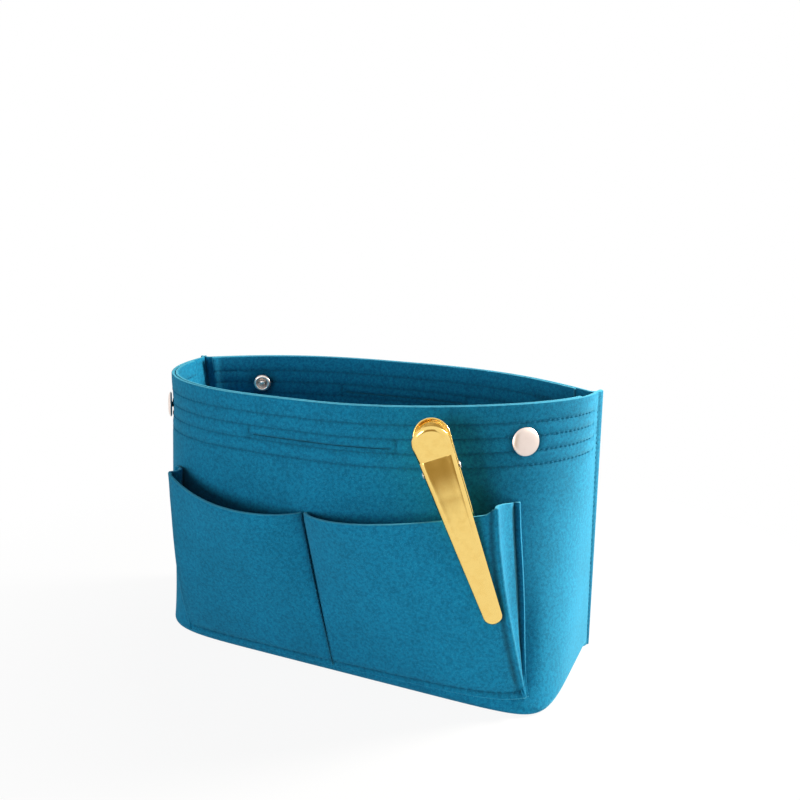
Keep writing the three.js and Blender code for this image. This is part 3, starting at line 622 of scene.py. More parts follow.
@dataclass(frozen=True)
class Thread:
    """Sewing thread, and the furrow that it pulls into the felt."""

    pitch: float = 3.0
    length: float = 2.35
    radius: float = 0.3
    sunk: float = 0.32
    dive: float = 0.75
    furrow_depth: float = 0.36
    furrow_width: float = 0.7
    pillow_depth: float = 0.24
    pillow_width: float = 2.2
    hole_pull: Pair = (0.72, 0.45)
    length_spread: Pair = (0.92, 1.05)
    wander: float = 0.06
    uneven: float = 0.03
    outline: tuple[float, ...] = (-1.0, -0.86, -0.5, 0.0, 0.5, 0.86, 1.0)
    sides: int = 6
    end_share: float = 0.6

    def furrow(self, across: Array, along: Optional[Array] = None) -> Array:
        """Returns the felt's relief near a row of stitches.

        Args:
            across: Distances from the row.
            along: Places along the row, which make the felt dip at the needle holes.

        Returns:
            The relief, negative in the furrow.
        """
        pull = 1.0
        if along is not None:
            level, swing = self.hole_pull
            pull = level + swing * np.cos(2 * math.pi * along / self.pitch)
        narrow = self.furrow_depth * pull * bell(across, self.furrow_width)
        return -narrow - self.pillow_depth * bell(across, self.pillow_width)

    def sew(self, place: Callable[[Array, Array], Array], start: float, stop: float, seed: int) -> MeshData:
        """Makes a row of stitches whose ends dive into the felt.

        Args:
            place: Gives points from places along the row and lifts off the felt's face.
            start: Where the row starts.
            stop: Where it ends.
            seed: Varies the stitches.

        Returns:
            The stitches in one mesh.
        """
        random = np.random.default_rng(seed)
        first, last = math.ceil(start / self.pitch), math.floor(stop / self.pitch)
        centre = (np.arange(first, last) + 0.5) * self.pitch
        count = len(centre)
        share = np.array(self.outline)
        length = self.length * random.uniform(*self.length_spread, (count, 1))
        along = centre[:, None] + random.normal(0, self.wander, (count, 1)) + share * length / 2
        lift = -self.sunk - self.dive * np.abs(share) ** 3 + random.normal(0, self.uneven, (count, 1))
        path = place(along, np.broadcast_to(lift, along.shape))
        return tube(path, self.radius, self.sides, self.end_share)


THREAD = Thread()


class Graph:
    """A material's or world's shader nodes while they are being wired."""

    def __init__(self, owner: bpy.types.ID) -> None:
        """Empties a material or world."""
        self.owner = owner
        owner.use_nodes = True
        self.tree = owner.node_tree
        self.tree.nodes.clear()

    def add(self, kind: str, inputs: Optional[dict] = None, **settings: object) -> bpy.types.Node:
        """Adds a node.

        Args:
            kind: The node's type after "ShaderNode".
            inputs: Sockets or values by input name or number.
            settings: The node's own options.

        Returns:
            The node.
        """
        node = self.tree.nodes.new("ShaderNode" + kind)
        for key, value in settings.items():
            setattr(node, key, value)
        for key, value in (inputs or {}).items():
            if isinstance(value, Socket):
                self.tree.links.new(value, node.inputs[key])
            else:
                node.inputs[key].default_value = value
        return node

    def place(self) -> Socket:
        """Returns the surface's own coordinates, in metres."""
        return self.add("TexCoord").outputs["Object"]

    def noise(self, grain: float, detail: float = 2.0) -> Socket:
        """Adds a noise whose grains are so many millimetres wide."""
        inputs = {"Vector": self.place(), "Scale": 1.0 / (grain * MILLIMETRE), "Detail": detail}
        return self.add("TexNoise", inputs).outputs["Fac"]

    def mark(self, name: str) -> Socket:
        """Reads a number that the mesh carries on its points."""
        return self.add("Attribute", attribute_name=name).outputs["Fac"]

    def span(
        self, value: Socket, low: float, high: float, start: float = 0.0, stop: float = 1.0
    ) -> Socket:
        """Maps a value's range from low to high onto start to stop, held at the ends."""
        inputs = {0: value, 1: low, 2: high, 3: start, 4: stop}
        return self.add("MapRange", inputs, clamp=True).outputs[0]

    def reckon(self, operation: str, one: object, other: object) -> Socket:
        """Adds a sum on two values."""
        return self.add("Math", {0: one, 1: other}, operation=operation).outputs[0]

    def mix(self, share: object, one: object, other: object, blend: str = "MIX") -> Socket:
        """Mixes two colours."""
        return self.add("Mix", {0: share, 6: one, 7: other}, data_type="RGBA", blend_type=blend).outputs[2]

    def bump(self, height: Socket, strength: float, depth: float) -> Socket:
        """Turns a height into a normal; depth is in millimetres."""
        inputs = {"Height": height, "Strength": strength, "Distance": depth * MILLIMETRE}
        return self.add("Bump", inputs).outputs["Normal"]

    def looked_at(self) -> Socket:
        """Returns 1 for what is seen directly, mirrored or through glass, and 0 for what only lights."""
        path = self.add("LightPath").outputs
        mirrored = self.reckon("MAXIMUM", path["Is Glossy Ray"], path["Is Transmission Ray"])
        return self.reckon("MAXIMUM", path["Is Camera Ray"], mirrored)

    def finish(self, shader: Socket, output: str = "OutputMaterial") -> bpy.types.ID:
        """Connects the surface and returns the material or world."""
        self.add(output, {"Surface": shader})
        return self.owner

    def dress(self, inputs: dict) -> Material:
        """Makes the surface from a principled shader's inputs and returns the material."""
        return self.finish(self.add("BsdfPrincipled", inputs).outputs[0])


def colour(red: float, green: float, blue: float) -> tuple[float, ...]:
    """Turns display values from 0 to 255 into a linear colour."""
    def linear(value: float) -> float:
        share = value / 255.0
        return share / 12.92 if share <= 0.04045 else ((share + 0.055) / 1.055) ** 2.4

    return (linear(red), linear(green), linear(blue), 1.0)


@dataclass(frozen=True)
class FeltFinish:
    """Heathered wool-like felt: a speckle of lighter and darker fibres under a soft nap.

    Each span is the stretch of a noise or mark over which its tone sets in. The edge mark paints a
    highlight: cut edges and fold crests turn paler. The groove mark paints shade into furrows.
    """

    name: str = "heathered_felt"
    deep: tuple = (4, 96, 132)
    body: tuple = (10, 116, 154)
    fleck: tuple = (44, 152, 188)
    # painted highlight colour for cut edges and fold crests
    painted_edge_highlight: tuple = (80, 178, 205)
    mottle_grain: float = 1.7
    fibre_grain: float = 0.5
    cloud_grain: float = 26.0
    mottle_span: Pair = (0.36, 0.62)
    fleck_span: Pair = (0.52, 0.74)
    fleck_share: float = 0.45
    edge_span: Pair = (0.3, 1.0)
    edge_share: float = 0.45
    cloud_span: Pair = (0.3, 0.7)
    cloud_shade: Pair = (0.92, 1.06)
    # painted shade in stitch and fold furrows
    groove_span: Pair = (0.05, 1.2)
    groove_shade: float = 0.42
    roughness: float = 0.95
    specular: float = 0.15
    nap: float = 0.42
    nap_roughness: float = 0.45
    nap_tint: tuple = (120, 215, 242)
    relief: Pair = (0.5, 0.6)
    bump_strength: float = 0.3
    bump_depth: float = 0.3

    def material(self) -> Material:
        """Wires the finish."""
        graph = Graph(bpy.data.materials.new(self.name))
        mottle = graph.noise(self.mottle_grain, 3.0)
        fibre = graph.noise(self.fibre_grain, 2.0)
        cloud = graph.noise(self.cloud_grain, 2.0)
        tone = graph.mix(graph.span(mottle, *self.mottle_span), colour(*self.deep), colour(*self.body))
        flecks = graph.span(fibre, *self.fleck_span, 0.0, self.fleck_share)
        tone = graph.mix(flecks, tone, colour(*self.fleck))
        # painted highlight: cut edges and fold crests turn paler
        edges = graph.span(graph.mark("edge"), *self.edge_span, 0.0, self.edge_share)
        tone = graph.mix(edges, tone, colour(*self.painted_edge_highlight))
        # painted shade: the deeper a furrow, the darker the felt; the cloud adds random tone
        painted_groove_shade = graph.span(graph.mark("groove"), *self.groove_span, 1.0, self.groove_shade)
        shade = graph.reckon("MULTIPLY", graph.span(cloud, *self.cloud_span, *self.cloud_shade), painted_groove_shade)
        grey = graph.add("CombineColor", {0: shade, 1: shade, 2: shade}).outputs[0]
        tone = graph.mix(1.0, tone, grey, "MULTIPLY")
        coarse, fine = (graph.reckon("MULTIPLY", *pair) for pair in zip((mottle, fibre), self.relief))
        height = graph.reckon("ADD", coarse, fine)
        inputs = {
            "Base Color": tone,
            "Roughness": self.roughness,
            "Specular IOR Level": self.specular,
            "Sheen Weight": self.nap,
            "Sheen Roughness": self.nap_roughness,
            "Sheen Tint": colour(*self.nap_tint),
            "Normal": graph.bump(height, self.bump_strength, self.bump_depth),
        }
        return graph.dress(inputs)


@dataclass(frozen=True)
class ThreadFinish:
    """Matt sewing thread, a little darker than the felt."""

    name: str = "sewing_thread"
    base: tuple = (12, 86, 120)
    light: tuple = (20, 108, 142)
    twist_grain: float = 0.5
    roughness: float = 0.85
    specular: float = 0.1
    bump_strength: float = 0.4
    bump_depth: float = 0.15

    def material(self) -> Material:
        """Wires the finish."""
        graph = Graph(bpy.data.materials.new(self.name))
        twist = graph.noise(self.twist_grain, 1.0)
        inputs = {
            "Base Color": graph.mix(twist, colour(*self.base), colour(*self.light)),
            "Roughness": self.roughness,
            "Specular IOR Level": self.specular,
            "Normal": graph.bump(twist, self.bump_strength, self.bump_depth),
        }
        return graph.dress(inputs)


@dataclass(frozen=True)
class MetalFinish:
    """Plated metal: its colour, its polish, and how far turning or handling shows."""

    name: str
    base: tuple
    wear_and_painted_highlight: tuple
    roughness: Pair
    turned_pitch: float = 0.0
    bump_strength: float = 0.05
    bump_depth: float = 0.02
    cloud_grain: float = 3.5
    fine_grain: float = 0.25
    worn_span: Pair = (0.45, 0.75)
    wear_and_painted_highlight_share: float = 0.35
    polish_span: Pair = (0.3, 0.7)

    def material(self) -> Material:
        """Wires the finish."""
        graph = Graph(bpy.data.materials.new(self.name))
        cloud = graph.noise(self.cloud_grain, 3.0)
        fine = graph.noise(self.fine_grain, 2.0)
        height = fine
        if self.turned_pitch:
            rings = graph.reckon("MULTIPLY", graph.mark("radius"), 2 * math.pi / self.turned_pitch)
            height = graph.reckon("ADD", graph.reckon("SINE", rings, 0.0), fine)
        wear = graph.span(cloud, *self.worn_span, 0.0, self.wear_and_painted_highlight_share)
        inputs = {
            "Base Color": graph.mix(wear, colour(*self.base), colour(*self.wear_and_painted_highlight)),
            "Metallic": 1.0,
            "Roughness": graph.span(cloud, *self.polish_span, *self.roughness),
            "Normal": graph.bump(height, self.bump_strength, self.bump_depth),
        }
        return graph.dress(inputs)


GOLD = MetalFinish("gold_plate", (246, 212, 126), (238, 194, 102), (0.13, 0.2))
SNAP = MetalFinish("satin_nickel", (238, 222, 213), (226, 209, 200), (0.3, 0.42), 0.35, 0.12)
STEEL = MetalFinish("bright_steel", (205, 200, 192), (180, 175, 168), (0.22, 0.34))


@dataclass
class Finishes:
    """The materials, made once."""

    felt: Material
    thread: Material
    gold: Material
    snap: Material
    steel: Material

    @staticmethod
    def make() -> "Finishes":
        """Makes every material."""
        felt, thread = FeltFinish().material(), ThreadFinish().material()
        return Finishes(felt, thread, GOLD.material(), SNAP.material(), STEEL.material())


def put(
    name: str, mesh: MeshData, material: Material, slot: Slot, replaced: list[str], body: Body = Body.BAG
) -> bpy.types.Object:
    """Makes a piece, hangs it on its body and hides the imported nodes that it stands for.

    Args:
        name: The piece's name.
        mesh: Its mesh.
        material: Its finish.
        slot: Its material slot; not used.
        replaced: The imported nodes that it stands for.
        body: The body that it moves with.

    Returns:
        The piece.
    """
    piece = mesh.to_object(name, material)
    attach(piece, body.value)
    if replaced:
        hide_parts(*replaced)
    log.info("%s: %d faces", name, len(piece.data.polygons))
    return piece


@dataclass
class Walls:
    """The front and back walls with their inner bands, stitch rows and grip slits."""

    row_drops: tuple[float, ...] = (9.6, 17.1, 24.6, 32.0)
    band_depth: float = 38.0
    front_band_margin: float = 13.0
    back_band_margin: float = 9.0
    back_band_left_margin: float = 2.0
    band_end_lift: float = 1.2
    band_end_length: float = 6.0
    slit_half: float = 40.0
    slit_width: float = 0.5
    slit_drop: float = 22.0
    end_stitch: float = 43.0
    fillet: float = 2.6
    flange_seam_share: float = 0.3
    flange_leg: float = 0.35
    flange_points: int = 7
    flange_tips: tuple[float, ...] = (1.0, 0.8, 0.65, 0.5)
    column_steps: Triple = (0.9, 0.9, 0.0)
    row_steps: Triple = (2.2, 0.4, 1.3)
    rolled_rows: int = 7
    reference_height: float = 120.0
    held_reach: float = 48.0
    eased_margin: float = 58.0
    front_snap_drop: float = 19.5
    back_snap_drop: float = 17.5
    front_snap_from_seam: float = 53.5
    back_snap_from_seam: float = 30.0
    slit_dip: float = 0.45
    slit_dip_width: float = 1.4
    snap_dip: float = 0.55
    snap_dip_width: float = 2.6
    snap_dip_radius: float = 6.2
    end_seam_half: float = 4.6
    end_seam_rise: float = 1.1
    end_seam_fade: float = 1.5
    row_end: float = 5.0
    inner_row_end: float = 12.0
    corner_seam: Pair = (9.0, 153.0)

    def rows(self) -> list[float]:
        """Returns the stitch rows' heights."""
        return [FORM.wall_height - drop for drop in self.row_drops]

    def heights(self, foot: float) -> Array:
        """Places the grid rows from a foot up to the rim, with the rolled edge where it has one."""
        slit = FORM.wall_height - self.slit_drop
        rolled = FORM.base_edge_radius
        exact = (slit - self.slit_width / 2, slit + self.slit_width / 2)
        lines = self.rows() + [slit]
        up = stations(max(foot, rolled), FORM.wall_height, self.row_steps, lines, exact)
        if foot >= rolled:
            return up
        angle = np.linspace(0.0, math.pi / 2, self.rolled_rows + 1)[:-1]
        return np.concatenate([rolled * (1 - np.cos(angle)), up])

    def spread(self, column: Array, height: Array) -> Array:
        """Turns fixed columns into developed distances, whose reach changes with height."""
        side_length = [FORM.half_length(side, height) for side in Side]
        fixed = [FORM.half_length(side, self.reference_height) for side in Side]
        total = np.where(column < 0, side_length[0], side_length[1])
        reference = np.where(column < 0, fixed[0], fixed[1])
        eased = ease(np.abs(column), self.held_reach, reference - self.eased_margin)
        return column + np.sign(column) * (total - reference) * eased

    def front_columns(self, margin: float) -> Array:
        """Places the front's columns, ending a margin before each seam."""
        left, right = (FORM.half_length(side, self.reference_height) for side in Side)
        slit = (-self.slit_half, self.slit_half)
        return stations(margin - left, right - margin, self.column_steps, exact=slit)

    def back_columns(self, right_margin: float, left_margin: float) -> Array:
        """Places the back's columns from its right corner to its left one."""
        corner = float(FORM.back_corner(self.reference_height)[0])
        slit = (-self.slit_half, self.slit_half)
        return stations(left_margin - corner, corner - right_margin, self.column_steps, exact=slit)[::-1]

    def back_place(self, column: Array) -> Array:
        """Turns a column of the back, in millimetres, into a place."""
        return column / float(FORM.back_corner(self.reference_height)[0])

    def relief(self, along: Array, height: Array, snaps: list[Pair]) -> Array:
        """Finds the relief of a face with the four stitch rows.

        Args:
            along: Places along the wall.
            height: Heights.
            snaps: Places along the wall, and heights, where snaps pull the felt in.

        Returns:
            The relief in millimetres.
        """
        found = sum(THREAD.furrow(height - row, along) for row in self.rows())
        above_slit = height - FORM.wall_height + self.slit_drop
        slit = np.hypot(np.maximum(0, np.abs(along) - self.slit_half), above_slit)
        found = found - self.slit_dip * bell(slit, self.slit_dip_width)
        from_end = self.end_seam_half - np.abs(above_slit - self.end_seam_rise)
        for end in (-self.end_stitch, self.end_stitch):
            found = found + THREAD.furrow(along - end) * smooth(from_end / self.end_seam_fade)
        for snap_along, snap_height in snaps:
            away = np.hypot(along - snap_along, height - snap_height)
            dip = bell(np.maximum(0.0, away - self.snap_dip_radius), self.snap_dip_width)
            found = found - self.snap_dip * dip
        return found

    def slit_hole(self, along: Array, height: Array) -> Array:
        """Marks the grid cells that the slit cuts out."""
        middle = (along[:-1, :-1] + along[:-1, 1:]) / 2
        level = (height[:-1, :-1] + height[1:, :-1]) / 2
        drop = np.abs(level - FORM.wall_height + self.slit_drop)
        return (np.abs(middle) < self.slit_half) & (drop < self.slit_width / 2)

    def _wall(
        self, wall: Array, along: Array, corners: list[Array], sides: Sequence[Side], snaps: list[Pair]
    ) -> MeshData:
        """Builds a wall, its two ends turned out into seam flanges.

        Args:
            wall: The wall's grid, which ends a fillet before each corner.
            along: Its points' places along the wall.
            corners: The corner points of the first and last columns.
            sides: The ends of the bag where these columns lie.
            snaps: The wall's snaps.

        Returns:
            Its mesh.
        """
        width = FORM.flange_width(wall[:, :1, 2])
        leg, count, tips = self.flange_leg * width, self.flange_points, np.array(self.flange_tips)
        curves, strips = [], []
        for corner, side, end in zip(corners, sides, (wall[:, 0], wall[:, -1])):
            out = flange(side)
            curves.append(rounded(corner + out * leg, corner, end, count))
            strips.append(np.stack([corner + out * width * tip for tip in tips], axis=1))
        first, last = np.concatenate([strips[0], curves[0]], 1), np.concatenate([strips[1], curves[1]], 1)
        grid = np.concatenate([first, wall[:, 1:-1], last[:, ::-1]], axis=1)
        turned = np.append(tips, np.linspace(self.flange_leg, -1.0, count))
        share = np.concatenate([turned, np.full(wall.shape[1] - 2, FAR_IN), turned[::-1]])
        more = np.arange(1, len(turned)) * sides[-1].value
        along = np.concatenate([along[:, :1] - more[::-1], along, along[:, -1:] + more], axis=1)
        z = np.broadcast_to(wall[:, :1, 2], along.shape)
        seam = THREAD.furrow((share - self.flange_seam_share) * FORM.flange_width(z))
        relief = self.relief(along, z, snaps) * (share == FAR_IN) + seam
        return Sheet(grid, front=relief, hole=self.slit_hole(along, z)).build()

    def _band(self, grid: Array, along: Array, snaps: list[Pair]) -> MeshData:
        """Builds a band from its grid, its points' places along the wall and the wall's snaps."""
        height = grid[..., 2]
        relief = self.relief(along, height, snaps)
        return Sheet(grid, back=relief, hole=self.slit_hole(along, height)).build()

    def front_wall(self) -> MeshData:
        """Builds the front wall, which wraps round both ends."""
        z = self.heights(0.0)[:, None]
        along = self.spread(self.front_columns(self.fillet), z)
        upright = np.maximum(z, FORM.base_edge_radius)
        x, y = FORM.seam_x(upright), FORM.seam_y(upright)
        corners = [np.concatenate([side.value * x, y, z], -1) for side in Side]
        return self._wall(FORM.wall(along, z), along, corners, list(Side), self.front_snaps())

    def back_wall(self) -> MeshData:
        """Builds the back wall."""
        z = self.heights(0.0)[:, None]
        columns = self.back_columns(self.fillet, self.fillet)
        columns = np.broadcast_to(columns, (len(z), len(columns)))
        sides = (Side.RIGHT, Side.LEFT)
        x, y = FORM.back_corner(np.maximum(z, FORM.base_edge_radius))
        corners = [np.concatenate([side.value * x, y, z], -1) for side in sides]
        wall = FORM.back(self.back_place(columns), z)
        return self._wall(wall, columns, corners, sides, self.back_snaps())

    def front_band(self) -> MeshData:
        """Builds the front wall's inner band."""
        z = self.heights(FORM.wall_height - self.band_depth)[:, None]
        along = self.spread(self.front_columns(self.front_band_margin), z)
        return self._band(FORM.wall(along, z, -(FORM.felt + FORM.band_gap)), along, self.front_snaps())

    def back_band(self) -> MeshData:
        """Builds the back wall's inner band, whose left end leans in a little."""
        z = self.heights(FORM.wall_height - self.band_depth)[:, None]
        columns = self.back_columns(self.back_band_margin, self.back_band_left_margin)
        columns = np.broadcast_to(columns, (len(z), len(columns)))
        lift = self.band_end_lift * smooth(1 - (columns - columns[:, -1:]) / self.band_end_length) ** 2
        grid = FORM.back(self.back_place(columns), z, -(FORM.felt + FORM.band_gap) - lift)
        return self._band(grid, columns, self.back_snaps())

    def front_snaps(self) -> list[Pair]:
        """Returns the front snaps' places along the wall, and their heights."""
        height = FORM.wall_height - self.front_snap_drop
        reach = [float(FORM.half_length(side, height)) - self.front_snap_from_seam for side in Side]
        return [(side.value * half, height) for side, half in zip(Side, reach)]

    def back_snaps(self) -> list[Pair]:
        """Returns the back snaps' places along the wall, in millimetres, and their heights."""
        height = FORM.wall_height - self.back_snap_drop
        reach = float(FORM.back_corner(height)[0]) - self.back_snap_from_seam
        return [(side.value * reach, height) for side in Side]

    def _faces(self) -> list[Callable[[Array, Array, Array], Array]]:
        """Lists the faces that carry rows: the front's outer and inner one, then the back's."""
        layers = 2 * FORM.felt + FORM.band_gap

        def back(along: Array, height: Array, lift: Array) -> Array:
            """Finds points on the back wall."""
            return FORM.back(self.back_place(along), height, lift)

        return [
            FORM.wall,
            lambda along, height, lift: FORM.wall(along, height, -layers - lift),
            back,
            lambda along, height, lift: back(along, height, -layers - lift),
        ]

    def _row_length(self, to_corner: float) -> float:
        """Returns a row's length on one side of the middle, a whole number of stitches."""
        return int((float(to_corner) - self.row_end) / THREAD.pitch) * THREAD.pitch

    def stitches(self) -> MeshData:
        """Sews the rows below the rim, the slits' ends and the corner seams."""
        runs = []
        faces = self._faces()
        for k, row in enumerate(self.rows()):
            left, right = (self._row_length(FORM.half_length(side, row)) for side in Side)
            back = self._row_length(FORM.back_corner(row)[0])
            ends = ((-left, right), (-left, right), (-back, back), (-back, back))
            margins = (0.0, self.inner_row_end, 0.0, self.inner_row_end)
            for group, (face, (start, stop), margin) in enumerate(zip(faces, ends, margins)):
                span = (start + margin, stop - margin)
                runs.append(THREAD.sew(lambda s, up: face(s, row, up), *span, 10 * group + k))
        low, high = self.rows()[2], self.rows()[1]
        for k, end in enumerate((-self.end_stitch, self.end_stitch)):
            for group, face in enumerate(faces):
                runs.append(THREAD.sew(lambda s, up: face(end, s, up), low, high, 40 + 2 * group + k))
        for k, side in enumerate(Side):
            for group, behind in enumerate((False, True)):
                place = self._seam_place(side, behind)
                runs.append(THREAD.sew(place, *self.corner_seam, 50 + 2 * group + k))
        return MeshData.joined(runs)

    def _seam_place(self, side: Side, behind: bool) -> Callable[[Array, Array], Array]:
        """Gives the corner seam's line on a flange's outer face.

        Args:
            side: Which end.
            behind: Whether on the back wall's flange.

        Returns:
            A function of height and lift.
        """
        out = flange(side)
        normal = unit(np.array([side.value * out[1], -abs(out[0]), 0.0])) * (-1 if behind else 1)

        def place(height: Array, lift: Array) -> Array:
            """Finds points along the seam."""
            x, y = FORM.back_corner(height) if behind else (FORM.seam_x(height), FORM.seam_y(height))
            corner = np.stack([side.value * x, y, height], -1)
            seam = FORM.flange_width(height) * self.flange_seam_share
            return corner + out * seam[..., None] + normal * lift[..., None]

        return place

    def build(self, finishes: Finishes) -> None:
        """Makes the pieces."""
        for name, mesh in (
            ("front_wall", self.front_wall()),
            ("back_wall", self.back_wall()),
            ("front_top_band", self.front_band()),
            ("back_top_band", self.back_band()),
        ):
            put(f"felt_{name}", mesh, finishes.felt, Slot.FELT, [name])
        put("wall_stitches", self.stitches(), finishes.thread, Slot.FELT, [])


def flange(side: Side) -> Array:
    """Returns the way that a back corner's seam flange stands out, which is shorter on the left."""
    degrees, share = FORM.right_flange if side is Side.RIGHT else FORM.left_flange
    angle = math.radians(degrees)
    return np.array([side.value * math.cos(angle), math.sin(angle), 0.0]) * share


@dataclass
class BasePanel:
    """The flat panel that the walls' rolled edges close round."""

    clearance: float = 0.7
    corner: float = 3.0
    columns: int = 161
    rows: int = 46
    corner_columns: int = 4
    back_share: float = 0.7
    front_share: float = 0.3

    def _to_corners(self, line: Array, share: float) -> Array:
        """Carries an outline on into both back corners.

        Args:
            line: The outline from left to right.
            share: Where it ends, from the front wall's corner at 0 to the back wall's at 1.

        Returns:
            The longer outline.
        """
        foot = np.array(FORM.base_edge_radius)
        back_x, back_y = FORM.back_corner(foot)
        x, y = lerp(FORM.seam_x(foot), back_x, share), lerp(FORM.seam_y(foot), back_y, share)
        left, right = (np.array([side.value * float(x), float(y), 0.0]) for side in Side)
        on = np.linspace(0.0, 1.0, self.corner_columns + 1)[:-1, None]
        return np.concatenate([lerp(left, line[0], on), line, lerp(right, line[-1], on)[::-1]])

    def grid(self) -> Array:
        """Rules the panel from the back outline to the front one."""
        zero = np.array(0.0)
        left, right = (float(FORM.half_length(side, 0.0)) - self.corner for side in Side)
        front = FORM.wall(np.linspace(-left, right, self.columns), zero, -self.clearance)
        reach = 1.0 - self.corner / float(FORM.back_corner(zero)[0])
        back = FORM.back(np.linspace(-reach, reach, self.columns), zero, -self.clearance)
        share = np.linspace(0.0, 1.0, self.rows)[:, None, None]
        back, front = self._to_corners(back, self.back_share), self._to_corners(front, self.front_share)
        return lerp(back, front, share)

    def build(self, finishes: Finishes) -> None:
        """Makes the piece."""
        put("felt_base_panel", Sheet(self.grid()).build(), finishes.felt, Slot.FELT, ["base_panel"])


@dataclass
class FrontPocket:
    """A bellows pocket: a billowed panel, a soft fold, a gusset back to the wall and a sewn flange."""

    side: Side
    floor_at_fold: float
    rim_at_fold: float
    rim_power: float
    billow: float
    fold_depth: float
    fold_inset: float
    foot_inset: float
    floor_at_centre: float = 7.0
    rim_at_centre: float = 99.5
    half_width: float = 108.0
    centre_shift: float = 3.0
    seam_lean: float = 6.0
    centre_foot: float = 4.0
    centre_top: float = -8.0
    centre_gap: float = 0.6
    growth_power: float = 1.7
    opening_power: float = 1.7
    flare: float = 0.0
    crease_rise: float = 0.35
    crease_width: float = 1.3
    valley_depth: float = 1.1
    valley_place: float = 2.6
    valley_width: float = 1.35
    gusset_hollow: float = 2.8
    rim_step: float = 0.0
    foot_draw: float = 0.2
    welt_rise: float = 1.3
    welt_width: float = 2.1
    ditch_depth: float = 1.2
    ditch_width: float = 0.9
    least_fold: float = 1.1
    ridge_leg: float = 1.2
    foot_leg: float = 0.6
    gusset_dip: float = 1.7
    bottom_seam: float = 3.0
    centre_seam: float = 0.7
    stitch_past_foot: float = 0.7
    flange_width: float = 3.0
    flange_foot: float = 1.2
    billow_lean: float = 0.7
    billow_growth: float = 1.3
    foot_inset_power: int = 3
    flare_power: int = 5
    rim_rise_power: int = 8
    rim_step_width: float = 5.0
    foot_draw_share: float = 0.4
    flange_growth_share: float = 0.45
    relief_share: float = 0.12
    hollow_length: float = 15.0
    longest_ridge_leg: float = 0.42
    longest_foot_leg: float = 0.3
    longest_near_leg: float = 0.9
    welt_start: float = 0.35
    welt_fall: float = 1.2
    # how pale the painted highlight along the fold's crest is
    wear_and_painted_highlight_share: float = 0.35
    centre_seam_depth: float = 0.6
    bottom_seam_depth: float = 1.2
    flange_stitch_sunk: float = 0.5
    bottom_row_ends: Pair = (9.0, 3.0)
    centre_row_ends: Pair = (5.0, 2.0)
    flange_row_end: float = 2.0
    bend_points: int = 12
    gusset_points: int = 7
    turn_points: int = 6
    flange_points: int = 14
    column_steps: Triple = (1.7, 0.5, 4.0)
    column_lines: Pair = (2.5, 3.0)
    row_steps: Triple = (2.2, 0.5, 1.6)

    @property
    def on_wall(self) -> float:
        """The standoff of a felt layer that lies on the wall."""
        return FORM.pocket_gap + FORM.felt

    def growth(self, share: Array) -> Array:
        """Returns how far the bellows has opened at a share of the height."""
        return 1 - (1 - share) ** self.growth_power

    def opening(self, share: Array) -> Array:
        """Returns how far the fold has come off the wall at a share of the height."""
        return 1 - (1 - share) ** self.opening_power

    def seam_distance(self, share: Array) -> Array:
        """Returns where the gusset meets the wall."""
        foot_inset = self.foot_inset * (1 - share) ** self.foot_inset_power
        reach = self.half_width - self.seam_lean * share - foot_inset
        return self.centre_shift + self.side.value * reach

    def centre_distance(self, share: Array) -> Array:
        """Returns where the panel meets the other pocket's at the centre seam."""
        middle = lerp(self.centre_foot, self.centre_top, share)
        return middle + self.side.value * self.centre_gap / 2

    def fold_distance(self, share: Array) -> Array:
        """Returns where the fold lies along the wall."""
        return self.seam_distance(share) - self.side.value * self.fold_inset * self.growth(share)

    def height(self, across: Array, share: Array) -> Array:
        """Returns heights; across runs from the centre seam at 0 to the fold at 1."""
        floor = lerp(self.floor_at_centre, self.floor_at_fold, across)
        return lerp(floor, lerp(self.rim_at_centre, self.rim_at_fold, across**self.rim_power), share)

    def depth(self, share: Array) -> Array:
        """Returns how far the fold stands off the wall's layer."""
        fold = np.maximum(self.least_fold, self.fold_depth * self.opening(share))
        return fold + self.flare * share**self.flare_power

    def _panel_plan(self, across: Array, share: Array) -> tuple[Array, Array, Array]:
        """Finds the panel's distances, standoffs and heights."""
        across, share = alike(across, share)
        centre = self.centre_distance(share)
        fold = self.fold_distance(share)
        distance = lerp(centre, fold, across)
        billow = self.billow * np.sin(math.pi * across**self.billow_lean) * share**self.billow_growth
        away = (1 - across) * np.abs(fold - centre)
        standoff = self.on_wall + billow + self.depth(share) * across**2
        rise = self.rim_step * (1 - smooth(away / self.rim_step_width)) * share**self.rim_rise_power
        return distance, standoff, self.height(across, share) + rise

    def foot_distance(self, share: Array) -> Array:
        """Returns where the gusset's foot lies, drawn in a little from the wall's sewing line."""
        draw = self.foot_draw * smooth(share / self.foot_draw_share)
        return self.seam_distance(share) - self.side.value * draw

    def edge_distance(self, share: Array) -> Array:
        """Returns where the flange ends on the wall."""
        grown = smooth(share / self.flange_growth_share)
        return self.seam_distance(share) + self.side.value * lerp(self.flange_foot, self.flange_width, grown)

